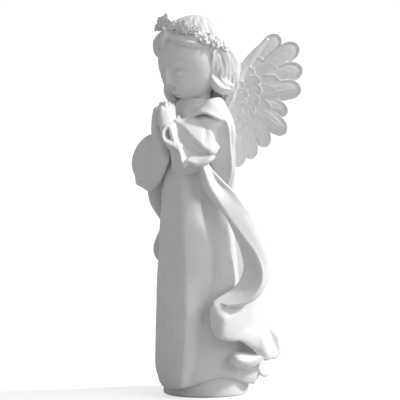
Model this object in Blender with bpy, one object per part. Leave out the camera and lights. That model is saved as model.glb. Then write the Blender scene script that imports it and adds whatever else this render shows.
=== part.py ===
"""A praying child angel in plaster, cast in one piece with a low plinth.

The figure faces -Y, with its left side at +X. The origin is on the floor, under the middle of the neck.
Carving is written in millimetres of a figure 595 mm high, and everything but the plinth scales with it.
Points given as seen are laid out from the figure's left front: to the right, up, and nearer the viewer.
"""

import math

import bpy
import numpy as np

# Driving dimensions, in metres
FIGURE_HEIGHT = 0.595  # lowest tip of the hem to the top of the wreath
PLINTH_SHOW = 0.010  # plinth left bare below the lowest tip of the hem
PLINTH_RISE = 0.022  # how far the plinth runs up inside the gown
PLINTH_HALF_WIDTH = 0.067
PLINTH_HALF_DEPTH = 0.070
PLINTH_BACK = 0.014  # centre of the plinth behind the axis of the neck
PLINTH_EDGE = 0.003  # rounding of the plinth's foot

# Casting
CAST_CELL = 0.0020  # finest step that the fused casting follows, in metres
CAST_TRIANGLES = 9600  # faces left on the casting

# One millimetre of a figure 595 mm high, in metres
MM = FIGURE_HEIGHT / 595

# Plaster
PLASTER_COLOUR = (0.83, 0.83, 0.82, 1.0)
PLASTER_ROUGHNESS = 0.62

FULL_TURN = 2 * math.pi
QUARTER = math.radians(45)  # side from which the pose is laid out


def seen(right, near, up):
    """A point laid out as it looks from the figure's left front: to the right, nearer, up."""
    c, s = math.cos(QUARTER), math.sin(QUARTER)
    return np.array([right * c + near * s, right * s - near * c, up])


def seen_row(points):
    """The same for a row of points given as (right, up, near)."""
    return np.array([seen(right, near, up) for right, up, near in points])


def through(knots, share):
    """A Catmull-Rom curve through evenly spaced knots, at these shares of its run."""
    knots = np.asarray(knots, float)
    first, last = 2 * knots[:1] - knots[1:2], 2 * knots[-1:] - knots[-2:-1]
    padded = np.concatenate([first, knots, last])
    place = np.clip(share, 0, 1) * (len(knots) - 1)
    span = np.minimum(place.astype(int), len(knots) - 2)
    f = place - span
    f = f.reshape(f.shape + (1,) * (knots.ndim - 1))
    a, b, c, d = (padded[span + i] for i in range(4))
    return 0.5 * (2 * b + (c - a) * f + (2 * a - 5 * b + 4 * c - d) * f**2 + (3 * b - a - 3 * c + d)
        * f**3)


def between(places, knots, at):
    """Smooth values at uneven places, by running a curve through the knots."""
    return through(knots, np.interp(at, places, np.linspace(0, 1, len(places))))


def unit(v):
    return v / np.maximum(np.linalg.norm(v, axis=-1, keepdims=True), 1e-9)


def away(angle, centre):
    """How far an angle is from a centre, the short way round."""
    return (angle - centre + math.pi) % FULL_TURN - math.pi


def ridge(offset, width):
    return np.exp(-((offset / width) ** 2))


def ease(x):
    x = np.clip(x, 0, 1)
    return x * x * (3 - 2 * x)


def around(count):
    return np.linspace(0, FULL_TURN, count, endpoint=False)


def tube(knots, widths, depths, side, rows, sides, carve=None):
    """Rings of an elliptical profile carried along a curve, with domed ends."""
    share = np.linspace(0, 1, rows)
    centre = through(knots, share)
    along = unit(np.gradient(centre, axis=0))
    across = through(side, share) if np.ndim(side) == 2 else np.tile(side, (rows, 1)).astype(float)
    across = unit(across - along * (across * along).sum(1, keepdims=True))
    normal = np.cross(along, across)
    wide, deep = through(widths, share), through(depths, share)
    angle = around(sides)
    more = np.zeros((rows, sides)) if carve is None else carve(share[:, None], angle[None, :])
    flat = (wide[:, None] + more) * np.cos(angle)
    tall = (deep[:, None] + more) * np.sin(angle)
    rings = centre[:, None] + flat[..., None] * across[:, None] + tall[..., None] * normal[:, None]
    dome = [(math.sin(a), math.cos(a)) for a in np.radians([25, 50, 75])]
    start_ring = [rings[0] - centre[0], along[0] * -min(wide[0], deep[0])]
    end_ring = [rings[-1] - centre[-1], along[-1] * min(wide[-1], deep[-1])]
    start = [centre[0] + start_ring[0] * c + start_ring[1] * s for s, c in dome[::-1]]
    end = [centre[-1] + end_ring[0] * c + end_ring[1] * s for s, c in dome]
    return np.concatenate([start, rings, end])


def net(knots, rows, columns):
    """A smooth surface through a net of knots: rows across, columns along."""
    across = through(np.asarray(knots, float), np.linspace(0, 1, rows))
    return np.swapaxes(through(np.swapaxes(across, 0, 1), np.linspace(0, 1, columns)), 0, 1)


def slab(surface, thick):
    """Cloth of this thickness on a surface: rings that go out over it and back under it."""
    along = np.gradient(surface, axis=0)
    across = np.gradient(surface, axis=1)
    normal = unit(np.cross(along, across))
    half = np.broadcast_to(thick, surface.shape[:2])[..., None] / 2
    over, under = surface + normal * half, surface - normal * half
    edge = unit(across) * half
    return np.concatenate([over, over[:, -1:] * 0.5 + under[:, -1:] * 0.5 + edge[:, -1:],
        under[:, ::-1],
                           over[:, :1] * 0.5 + under[:, :1] * 0.5 - edge[:, :1]], axis=1)


def polar(angle, radius_x, radius_front, radius_back):
    """An oval's X and Y at angles from the front towards the figure's left."""
    x = radius_x * np.sin(angle)
    y = -np.where(np.cos(angle) > 0, radius_front, radius_back) * np.cos(angle)
    return x, y


# Gown

GOWN = {
    "levels": (0, 8, 20, 60, 120, 200, 270, 330, 380, 420, 445, 460),
    "ovals": (  # centre towards the back, half width, reach to the front, reach to the back
        (14, 73, 76, 78),
        (14, 78, 81, 82),
        (14, 80, 83, 84),
        (13, 78, 81, 82),
        (9, 74, 77, 80),
        (5, 69, 70, 73),
        (1, 63, 64, 63),
        (-3, 57, 59, 54),
        (-5, 54, 50, 50),
        (-7, 52, 42, 46),
        (-8, 44, 34, 38),
        (-9, 26, 24, 26),
    ),
    "fold_levels": (0, 100, 200, 300),
    "fold_angles": (  # degrees from the front towards the figure's left, at each fold level
        (-152, -150, -148, -150),
        (-132, -129, -130, -131),
        (-108, -106, -109, -112),
        (-86, -84, -88, -90),
        (-60, -62, -58, -62),
        (-38, -36, -34, -34),
        (-6, -8, -10, -8),
        (20, 26, 26, 23),
        (25, 43, 60, 52),
        (46, 64, 72, 68),
        (78, 84, 87, 84),
        (90, 98, 105, 99),
        (112, 116, 120, 118),
        (130, 131, 134, 134),
        (146, 148, 147, 149),
        (162, 163, 160, 164),
        (179, 176, 180, 178),
        (195, 192, 195, 194),
        (208, 210, 212, 210),
    ),
    "fold_heights": (
        (6.5, 6.5, 5.5, 4.5),
        (-2.5, -2.5, -1.5, -1.0),
        (5.5, 5.5, 4.5, 3.5),
        (-3.0, -3.0, -2.0, -1.5),
        (3.5, 3.5, 3.0, 2.5),
        (-1.5, -1.0, -1.0, -1.0),
        (1.5, 0.6, 0.6, 1.0),
        (8.5, 10.5, 11.0, 8.0),
        (1.0, -8.0, -9.0, -7.0),
        (-1.5, -3.5, -2.5, -1.5),
        (4.0, 3.0, 2.0, 3.0),
        (-5.0, -6.0, -7.0, -5.0),
        (6.0, 5.5, 5.0, 4.5),
        (-3.0, -2.5, -2.0, -1.5),
        (7.5, 7.0, 6.0, 5.0),
        (-2.0, -2.5, -2.0, -1.0),
        (8.0, 7.5, 6.0, 4.5),
        (-2.0, -2.0, -1.5, -1.0),
        (6.5, 6.5, 5.5, 4.5),
    ),
    "arch": 19,  # rise of the hem between its front and side tips
    "arch_angle": 50,
    "arch_width": 40,
}


def gown_folds(angle, up):
    """Height of the folds: straight runs between the crests and hollows of a level, rounded over 3 degrees."""
    levels = np.array(GOWN["fold_levels"], float)
    at = np.interp(np.clip(up, levels[0], levels[-1]), levels, np.linspace(0, 1, len(levels)))
    angles = through(np.array(GOWN["fold_angles"], float).T, np.linspace(0, 1, 61))
    heights = through(np.array(GOWN["fold_heights"], float).T, np.linspace(0, 1, 61))
    turn = np.degrees(angle) % 360
    turn = np.where(turn > 208, turn - 360, turn)
    level = at * 60
    low = np.minimum(level.astype(int), 59)
    total = np.zeros(np.broadcast(turn, up).shape)
    turn, low, level = np.broadcast_arrays(turn, low, level)
    for n in np.unique(low):
        here = low == n
        share = (level - n)[here]
        values = []
        for row in (n, n + 1):
            run = 0
            for offset, weight in ((-3, 0.2), (-1.2, 0.3), (1.2, 0.3), (3, 0.2)):
                place = turn[here] + offset
                run = run + weight * np.interp(place, angles[row], heights[row], period=360)
            values.append(run)
        total[here] = values[0] * (1 - share) + values[1] * share
    return total * np.clip((440 - up) / 90, 0, 1)


def gown_oval(up):
    shape = np.shape(up)
    ovals = between(GOWN["levels"], GOWN["ovals"], np.ravel(up)).reshape(shape + (4,))
    return tuple(ovals[..., i] for i in range(4))


def gown_skin(rows=110, sides=240):
    """The gown is an oval that changes with height, pushed out by the folds."""
    angle = around(sides)[None, :]
    top = GOWN["levels"][-1]
    level = np.linspace(0, 1, rows)[:, None]
    near_arch = away(angle, math.radians(GOWN["arch_angle"]))
    arch = GOWN["arch"] * ridge(near_arch, math.radians(GOWN["arch_width"]))
    arch = arch + 5 * (1 - ridge(near_arch, math.radians(80)))
    up = arch + (top - arch) * level
    back, half, front, rear = gown_oval(np.broadcast_to(top * level, up.shape))
    folds = gown_folds(angle, up) + 0.5 * np.sin(9 * angle + up / 23) * np.sin(up / 31 + 2
        * np.sin(angle))
    x, y = polar(angle, half + folds, front + folds, rear + folds)
    return np.stack([x, y + back, up], axis=-1)


# Train: the cloak's hem behind

TRAIN = {
    "angles": (92, 103, 116, 131, 148, 163, 176, 192, 210, 231, 254, 276, 296),
    "hem": (70, 34, 16, 12, 20, 40, 30, 46, 34, 50, 42, 60, 92),
    "reach": (-3, 2, 8, 16, 22, 16, 26, 16, 26, 13, 20, 8, -4),
    "top": 190,
    "edge": 6,
}


def train_skin(rows=26, sides=170):
    """The flare grows with the square of the way down, most where the gown's folds crest."""
    angles = np.radians(TRAIN["angles"])
    angle = np.linspace(angles[0], angles[-1], sides)[None, :]
    hem = between(angles, np.array(TRAIN["hem"], float), angle[0])[None, :]
    reach = between(angles, np.array(TRAIN["reach"], float), angle[0])[None, :]
    top, edge = TRAIN["top"], TRAIN["edge"]
    down = np.linspace(0, 1, rows)[:, None]
    turn = np.linspace(0, math.pi, 5)[:, None][1:-1]
    up = np.concatenate([top + (hem - top) * down, hem - edge * 0.6 * np.sin(turn),
        hem + 12 + 0 * angle,
                         hem * 0.5 + top * 0.5])
    out = np.concatenate([reach * down**1.8, reach - edge * (1 - np.cos(turn)) / 2,
        reach * 0.2 - 14 + 0 * angle,
                          -22 + 0 * angle])
    inset = np.concatenate([1 - down, 0 * turn, [[0], [0]]])
    back, half, front, rear = gown_oval(up)
    out = out + gown_folds(angle, up) - 4 * inset
    x, y = polar(angle, half + out, front + out, rear + out)
    return np.swapaxes(np.stack([x, y + back, up], axis=-1), 0, 1)


# The cloak's front corner, blown into ruffles below the sash. Each column of knots runs from the hem up,
# (right, up, near) as seen from the left front: hem, crest of the turned edge, middle, upper, top.

RUFFLE = {
    "columns": (
        ((21, 139, 84), (24, 139, 83), (30, 141, 80), (40, 143, 74), (52, 146, 66)),
        ((17, 128, 84), (28, 125, 88), (40, 129, 82), (52, 134, 72), (62, 148, 60)),
        ((18, 112, 83), (34, 115, 92), (47, 119, 83), (60, 128, 71), (70, 150, 56)),
        ((20, 100, 84), (34, 103, 93), (50, 110, 83), (65, 124, 69), (77, 152, 52)),
        ((26, 89, 87), (35, 92, 94), (53, 102, 83), (70, 120, 67), (83, 154, 48)),
        ((36, 85, 91), (40, 88, 92), (57, 97, 82), (75, 116, 65), (87, 155, 44)),
        ((50, 83, 88), (52, 88, 87), (64, 96, 78), (79, 112, 62), (90, 156, 40)),
        ((62, 83, 82), (63, 88, 81), (72, 95, 73), (83, 109, 58), (91, 156, 36)),
        ((76, 74, 73), (78, 80, 73), (82, 91, 67), (88, 106, 54), (92, 157, 33)),
        ((86, 65, 62), (89, 73, 64), (91, 87, 61), (92, 103, 51), (93, 158, 30)),
        ((93, 54, 50), (98, 66, 56), (97, 82, 57), (95, 100, 48), (94, 160, 27)),
        ((98, 50, 42), (103, 60, 47), (104, 78, 41), (99, 97, 36), (94, 162, 23)),
        ((105, 48, 33), (108, 57, 33), (107, 75, 27), (102, 96, 26), (94, 163, 19)),
        ((114, 49, 23), (114, 57, 21), (111, 74, 16), (105, 96, 17), (94, 164, 15)),
        ((122, 50, 14), (121, 58, 13), (116, 75, 10), (107, 98, 12), (93, 165, 10)),
        ((128, 57, 6), (127, 65, 7), (122, 81, 7), (109, 101, 9), (92, 167, 4)),
        ((129, 71, -8), (128, 77, -5), (124, 90, -2), (111, 106, 3), (90, 168, -3)),
        ((125, 80, -20), (125, 85, -18), (121, 97, -13), (111, 111, -6), (88, 169, -10)),
        ((124, 94, -28), (122, 98, -27), (117, 105, -22), (108, 116, -16), (85, 171, -18)),
        ((100, 84, -46), (99, 90, -44), (95, 102, -39), (89, 118, -32), (78, 173, -28)),
    ),
    "swirl": (  # the hem's rolled tongue below: upper lip, hollow, lower lip
        ((46, 52, 76), (47, 50, 77), (48, 46, 76)),
        ((53, 59, 73), (57, 52, 83), (58, 41, 77)),
        ((66, 61, 66), (69, 52, 78), (69, 41, 71)),
        ((80, 57, 56), (83, 51, 66), (82, 42, 60)),
        ((93, 58, 44), (95, 53, 50), (95, 45, 46)),
    ),
    "thick": 5,
}


def ruffle_skins(rows=44, columns=260):
    """Two slabs of cloth through the nets of knots: the blown corner and the tongue below it."""
    nets = [np.array([seen_row(column) for column in RUFFLE[name]]).swapaxes(0,
        1) for name in ("columns", "swirl")]
    return [slab(net(nets[0], rows, columns).swapaxes(0, 1), RUFFLE["thick"]),
            slab(net(nets[1], 24, 70).swapaxes(0, 1), RUFFLE["thick"] * 0.8)]


# Sash: the cloak's edge, which swings from the elbow to the front of the knees

SASH = {
    # Inner edge, outer edge, nearness, rise of the crest, its place across, depth of the upper groove
    "net": (
        ((0, 350), (10, 356), 78, 3, 0.35, 0),
        ((3, 336), (20, 343), 82, 4, 0.28, 4),
        ((9, 316), (34, 328), 80, 4, 0.22, 7),
        ((25, 294), (53, 309), 75, 3, 0.14, 4),
        ((44, 270), (75, 278), 67, 1, 0.08, 1),
        ((57, 243), (90, 250), 58, 5, 0.26, 0),
        ((66, 218), (103, 218), 50, 9, 0.52, 0),
        ((70, 192), (107, 192), 48, 11, 0.70, 0),
        ((63, 171), (103, 170), 54, 11, 0.82, 0),
        ((47, 157), (91, 152), 64, 9, 0.88, 0),
        ((30, 147), (70, 139), 74, 6, 0.92, 0),
        ((20, 140), (42, 135), 81, 3, 0.92, 0),
    ),
    "thick": 6,
}


def sash_skin(rows=44, columns=170):
    """A band with one crest along it: above the crest it faces forward, beyond it turns to the side."""
    lines = [[], [], [], [], [], []]
    for a, b, near, rise, place, groove in SASH["net"]:
        a, b = np.array(a, float), np.array(b, float)
        at = lambda share: a + (b - a) * share
        side = 12 * (1 - place) + 6
        knots = ((at(0), near), (at(place * 0.5), near + rise * 0.3), (at(place * 0.95), near + rise),
                 (at(place + (1 - place) * 0.1), near + rise - side * 0.08),
                 (at(place + (1 - place) * 0.62), near + rise - side * 0.5 - groove), (at(1),
                     near + rise - side))
        for line, (flat, depth) in zip(lines, knots):
            line.append(seen(flat[0], depth, flat[1]))
    return slab(net(lines, rows, columns).swapaxes(0, 1), SASH["thick"])


FAR_SASH = {
    "path": (
        (-74, -30, 336), (-78, -16, 300), (-70, 0, 262), (-82, -4, 218), (-70, 12, 192), (-82, 2, 166),
        (-70, 22, 128), (-56, 40, 90),
    ),
    "widths": (14, 17, 15, 17, 15, 15, 14, 8),
    "depths": (5, 6, 5, 6, 5, 5, 5, 4),
}


def far_sash_skin(rows=90, sides=36):
    return tube(FAR_SASH["path"], FAR_SASH["widths"], FAR_SASH["depths"], (0.35, 0.94, 0), rows, sides)


# Sleeves

ARMS = {
    "shoulder": (37, -4, 418),
    "near_elbow": (44, -26, 388),
    "far_elbow": (-76, -36, 364),
}
NEAR_SLEEVE = {
    # Columns from the wrist to the elbow, knots (right, up, near): behind the top, top, puff, lip, crease,
    # valley, arc, band, edge, under
    "columns": (
        (
            (-37, 424, 44), (-37, 424, 56), (-38, 423, 62), (-39, 421, 64), (-40, 420, 64),
            (-41, 420, 64), (-42, 419, 66), (-45, 418, 68), (-49, 417, 68), (-45, 415, 58),
        ),
        (
            (-25, 423, 44), (-26, 424, 54), (-29, 420, 61), (-31, 417, 65), (-32, 415, 65),
            (-34, 412, 65), (-36, 410, 66), (-41, 407, 74), (-46, 405, 82), (-40, 403, 68),
        ),
        (
            (-15, 427, 42), (-16, 428, 52), (-19, 419, 61), (-21, 409, 70), (-22, 406, 69),
            (-27, 401, 68), (-32, 397, 68), (-37, 394, 76), (-42, 391, 85), (-34, 390, 70),
        ),
        (
            (-6, 428, 42), (-6, 428, 50), (-8, 416, 60), (-11, 398, 75), (-12, 395, 73),
            (-19, 388, 71), (-25, 383, 70), (-29, 380, 79), (-33, 377, 89), (-26, 371, 70),
        ),
        (
            (4, 424, 42), (3, 425, 50), (3, 409, 61), (0, 388, 79), (-1, 385, 76),
            (-9, 379, 74), (-15, 373, 73), (-21, 363, 84), (-27, 352, 94), (-18, 352, 74),
        ),
        (
            (8, 420, 42), (7, 422, 50), (8, 404, 61), (5, 383, 80), (4, 380, 77),
            (-3, 375, 75), (-8, 371, 74), (-13, 364, 84), (-19, 357, 94), (-10, 355, 76),
        ),
        (
            (14, 414, 42), (13, 417, 50), (16, 399, 63), (11, 379, 79), (9, 377, 77),
            (4, 373, 75), (0, 369, 74), (-2, 362, 84), (-3, 353, 94), (3, 353, 78),
        ),
        (
            (18, 398, 44), (20, 394, 54), (24, 384, 66), (19, 373, 77), (17, 371, 75),
            (17, 370, 73), (16, 368, 72), (15, 364, 80), (13, 360, 89), (17, 360, 74),
        ),
        (
            (29, 388, 44), (30, 384, 52), (29, 379, 60), (25, 373, 70), (23, 371, 70),
            (22, 370, 70), (21, 368, 70), (20, 367, 72), (19, 366, 74), (22, 365, 62),
        ),
    ),
    "far_lip": (  # the mouth's far side: edge, turn, inside
        ((-50, 416, 78), (-48, 414, 72), (-42, 411, 54)),
        ((-55, 410, 82), (-52, 408, 76), (-40, 404, 54)),
        ((-58, 402, 86), (-54, 401, 79), (-38, 398, 54)),
        ((-56, 391, 90), (-52, 393, 82), (-35, 394, 55)),
        ((-49, 385, 92), (-45, 389, 84), (-30, 391, 57)),
        ((-41, 381, 92), (-38, 387, 85), (-25, 388, 59)),
        ((-32, 374, 92), (-29, 381, 86), (-20, 381, 62)),
    ),
    "drape": (  # the back half of the bell, which hangs lower: top and bottom
        ((-46, 380, 54), (-44, 360, 52), (-42, 346, 52)),
        ((-30, 372, 66), (-29, 354, 62), (-29, 341, 61)),
        ((-16, 368, 74), (-16, 352, 69), (-16, 341, 67)),
        ((-3, 366, 78), (-3, 352, 74), (-3, 345, 71)),
        ((8, 366, 78), (8, 356, 76), (8, 351, 78)),
        ((18, 368, 74), (17, 364, 73), (16, 361, 74)),
    ),
    "thick": 5,
}
FAR_SLEEVE = {
    "stations": (  # centre as seen (right, up, near), half depth, rise, drop, lean of the drop
        ((-92, 350, -38), 8, 8, 12, 0),
        ((-91, 352, -28), 18, 18, 32, 0),
        ((-86, 358, -12), 25, 29, 44, -2),
        ((-78, 368, 8), 27, 33, 52, -4),
        ((-67, 380, 28), 22, 26, 50, -6),
        ((-55, 392, 46), 14, 16, 36, -8),
    ),
}


def upper_arm_skin(side, elbow, width=17):
    shoulder = (side * ARMS["shoulder"][0], ARMS["shoulder"][1], ARMS["shoulder"][2])
    middle = [(a + b) / 2 for a, b in zip(shoulder, elbow)]
    middle[0] += side * 4
    return tube([shoulder, middle, elbow], [width, width, width * 0.85], [width, width, width * 0.85],
        (0, 0, 1), 40, 60)


def near_sleeve_skins():
    """Cloth through the sleeve's nets: its near side, the mouth's far lip and the hanging back half."""
    skins = []
    for name, rows, columns, thick in (("columns", 90, 110, 5), ("far_lip", 24, 50, 4),
            ("drape", 24, 60, 5)):
        knots = np.array([seen_row(column) for column in NEAR_SLEEVE[name]]).swapaxes(0, 1)
        skins.append(slab(net(knots, rows, columns).swapaxes(0, 1), thick))
    return skins


def far_sleeve_skin(rows=70, sides=120):
    """A bell sleeve: drop-shaped rings from the elbow to the mouth, which closes on the gown."""
    centres = seen_row([s[0] for s in FAR_SLEEVE["stations"]])
    sizes = np.array([s[1:] for s in FAR_SLEEVE["stations"]], float)
    share = np.concatenate([np.linspace(0, 1, rows), [1.02, 1.03, 1.03]])
    shrink = np.concatenate([np.ones(rows), [0.93, 0.8, 0.4]])[:, None]
    at = np.minimum(share, 1)
    centre = through(centres, at)
    ahead = unit(np.gradient(through(centres, np.linspace(0, 1, rows)), axis=0))
    ahead = ahead[np.minimum(np.arange(len(share)), rows - 1)]
    centre = centre + ahead * ((share - at) * 100)[:, None]
    depth, rise, drop, lean = (through(sizes, at)[:, i : i + 1] * shrink for i in range(4))
    across = unit(np.cross(ahead, [0, 0, 1]))
    angle = around(sides)[None, :]
    low = np.clip(-np.sin(angle), 0, 1)
    run = at[:, None]
    line = np.radians(-62 + 46 * run)
    folds = (3.2 * ridge(away(angle, line), 0.16) - 2.4
        * ridge(away(angle, line + 0.42), 0.26)) * np.sin(math.pi * run) ** 0.7
    folds = folds - 2.0 * ridge(away(angle, line - 0.5), 0.3) * np.sin(math.pi * run)
    flare = 2.5 * ease((low - 0.7) / 0.3) * ease((run - 0.25) / 0.3)
    x = (depth + folds + flare) * np.cos(angle) * (1 - 0.25 * low**2)
    z = (np.where(np.sin(angle) > 0, rise, drop) + folds + flare) * np.sin(angle)
    back = -lean * low**2
    return centre[:, None] + x[..., None] * across[:, None] + z[...,
        None] * np.array([0, 0, 1.0]) + back[..., None] * ahead[:, None]


# Cape over the shoulders and arms; each row is (radius, height) at the angles from the front

CAPE = {
    "centre": -8,
    "angles": (0, 25, 45, 60, 70, 82, 95, 105, 120, 140, 180),
    "top": (
        (26, 416), (28, 420), (30, 430), (32, 436), (33, 438), (34, 440), (34, 442), (34, 443), (34,
            444),
        (34, 444), (34, 444),
    ),
    "shoulder": (
        (34, 412), (40, 416), (47, 425), (52, 428), (55, 427), (61, 424), (71, 420), (66, 418), (58,
            414),
        (54, 412), (52, 410),
    ),
    "middle": (
        (36, 408), (44, 412), (52, 416), (57, 406), (60, 398), (65, 388), (76, 382), (70, 378), (62,
            376),
        (58, 374), (56, 370),
    ),
    "low": (
        (36, 404), (44, 410), (54, 411), (58, 390), (60, 374), (65, 358), (76, 346), (70, 342), (62,
            344),
        (58, 346), (56, 340),
    ),
    "hem": (
        (35, 402), (43, 408), (54, 407), (58, 376), (59, 352), (61, 332), (66, 321), (66, 319), (60,
            322),
        (57, 326), (56, 318),
    ),
}
SHAWL = {
    "angles": (0, 20, 41, 55, 72, 100, 115, 135, 180),
    "inner": ((27, 419), (29, 424), (31, 433), (33, 441), (34, 450), (36, 455), (36, 455), (36, 452),
        (36, 450)),
    "crest": ((30, 421), (34, 428), (39, 438), (41, 447), (42, 457), (43, 461), (43, 460), (43, 458),
        (42, 455)),
    "slope": ((34, 420), (39, 429), (47, 437), (50, 444), (53, 448), (57, 441), (58, 434), (57, 428),
        (56, 424)),
    "edge": ((35, 414), (42, 426), (53, 433), (58, 437), (62, 430), (66, 415), (65, 401), (63, 390),
        (60, 382)),
    "thick": 5,
}
COLLAR = {  # the roll that hugs the neck: angle, radius, height
    "roll": ((0, 24, 420), (20, 26, 424), (40, 28, 434), (62, 30, 445), (90, 32, 453), (120, 33, 452),
        (150, 33, 448), (180, 33, 446)),
    "thick": (4.0, 6.0),
}


def round_neck(angle, radius, up):
    return np.stack([radius * np.sin(angle), CAPE["centre"] - radius * np.cos(angle), up], axis=-1)


def cape_skin(rows=70, sides=240):
    """The cloth runs from under the shawl over the shoulder to its hem, then turns in."""
    angle = around(sides)
    turned = np.degrees(np.abs(away(angle, 0)))
    names = ("top", "shoulder", "middle", "low", "hem")
    share = np.linspace(0, 1, rows)
    flat = through(np.stack([between(CAPE["angles"], np.array(CAPE[name], float),
        turned) for name in names]), share)
    down = share[:, None]
    flat[..., 0] += (2.2 * ridge(turned - 87 - 6 * down, 1.8) - 1.2
        * ridge(turned - 91 - 6 * down, 2.4)) * ease(down * 3)
    flat[..., 0] += 2.2 * np.cos(np.radians(turned - 180)
        * 11) * ease((turned - 125) / 25) * ease(down * 2)
    hem = np.stack([flat[-1] + [-2.0, -3.0], flat[-1] + [-6, -3], flat[-1] + [-10, 3]])
    inner = np.stack([flat[-1] * [0.5, 1] + [0, 8], flat[-1] * [0.15, 1] + [0, 12]])
    top = np.stack([flat[0] * [0.2, 1] + [0, 2], flat[0] * [0.7, 1]])
    flat = np.concatenate([top, flat, hem, inner])
    return round_neck(angle, flat[..., 0], flat[..., 1])


def shawl_skin(rows=40, sides=260):
    """A band of cloth round the shoulders, from the neck over its crest to a free edge that stands off."""
    angle = around(sides)
    turned = np.degrees(np.abs(away(angle, 0)))
    names = ("inner", "crest", "slope", "edge")
    share = np.linspace(0, 1, rows)
    flat = through(np.stack([between(SHAWL["angles"], np.array(SHAWL[name], float),
        turned) for name in names]), share)
    flat[..., 0] += 1.4 * np.sin(3 * math.pi * share)[:,
        None] * np.sin(np.radians(turned) * 4) * ease((turned - 40) / 40)
    thick = SHAWL["thick"]
    along = unit(np.gradient(flat, axis=0))
    normal = np.stack([-along[..., 1], along[..., 0]], axis=-1)
    normal *= np.sign(normal[..., 1:2].mean())
    under = (flat - normal * thick)[::-1]
    tip = flat[-1:] + along[-1:] * thick * 0.45 - normal[-1:] * thick * 0.5
    back = flat[:1] - along[:1] * thick * 0.45 - normal[:1] * thick * 0.5
    ring = np.concatenate([flat, tip, under, back, flat[:1]])
    rings = round_neck(angle, ring[..., 0], ring[..., 1])
    return np.swapaxes(rings, 0, 1)


def collar_skin(count=160):
    """A roll of cloth round the neck."""
    turn = np.linspace(0, FULL_TURN, count)
    turned = np.degrees(np.abs(away(turn, 0)))
    roll = np.array(COLLAR["roll"], float)
    flat = between(roll[:, 0], roll[:, 1:], turned)
    path = round_neck(turn, flat[:, 0] + 0.8 * np.sin(5 * turn), flat[:, 1])
    size = np.interp(turned, (0, 90, 180), (COLLAR["thick"][0], COLLAR["thick"][1], COLLAR["thick"][1]))
    return tube(path, size, size * 0.9, (0, 0, 1), count, 24)


# Hands

HANDS = {
    "palm": ((12, -64, 384), (10.5, -74, 403), (8, -80, 422), (6.8, -80, 436)),
    "finger_reach": (447, 450, 449, 442),
}


def hand_skins(side):
    """A flat palm and four fingers pointing up, pressed to the other hand at X = 0."""
    palm = tube([(side * x, y, z) for x, y, z in HANDS["palm"]], [15, 20, 17.5, 15],
        [11, 10, 7.8, 6.4], (0, 1, 0), 24, 40)
    shells = [palm]
    for n, reach in enumerate(HANDS["finger_reach"]):
        y = -67 - 8.2 * n
        path = [(side * 6.2, y, 418), (side * 6.0, y - 0.4, 428), (side * 5.4, y + 0.6, 438),
            (side * 4.4, y + 1.2 + 0.5 * n, reach)]
        knuckle = lambda share, angle: 0.35 * np.cos(share * 12.5 + 2.5)
        shells.append(tube(path, [5.8, 5.6, 5.2, 3.8], [6.2, 5.8, 5.3, 3.8], (0, 1, 0), 26, 24,
            knuckle))
    thumb = [(side * 11, -63, 404), (side * 10, -58, 416), (side * 7, -56, 429)]
    shells.append(tube(thumb, [7.0, 5.6, 4.0], [6.5, 5.4, 4.0], (0, 1, 0), 20, 24))
    return shells


# Head

HEAD = {
    "place": (0, -22, 520),
    "nod": 19,  # degrees forward
    "egg": (49, 53, 60),  # half width, half depth, half height
}


def placed_on_head(points):
    """Turns points of the head's own frame to the bowed head."""
    nod = math.radians(HEAD["nod"])
    c, s = math.cos(nod), math.sin(nod)
    x, y, z = np.moveaxis(points, -1, 0)
    return np.stack([x, y * c - z * s, y * s + z * c], axis=-1) + HEAD["place"]


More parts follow.
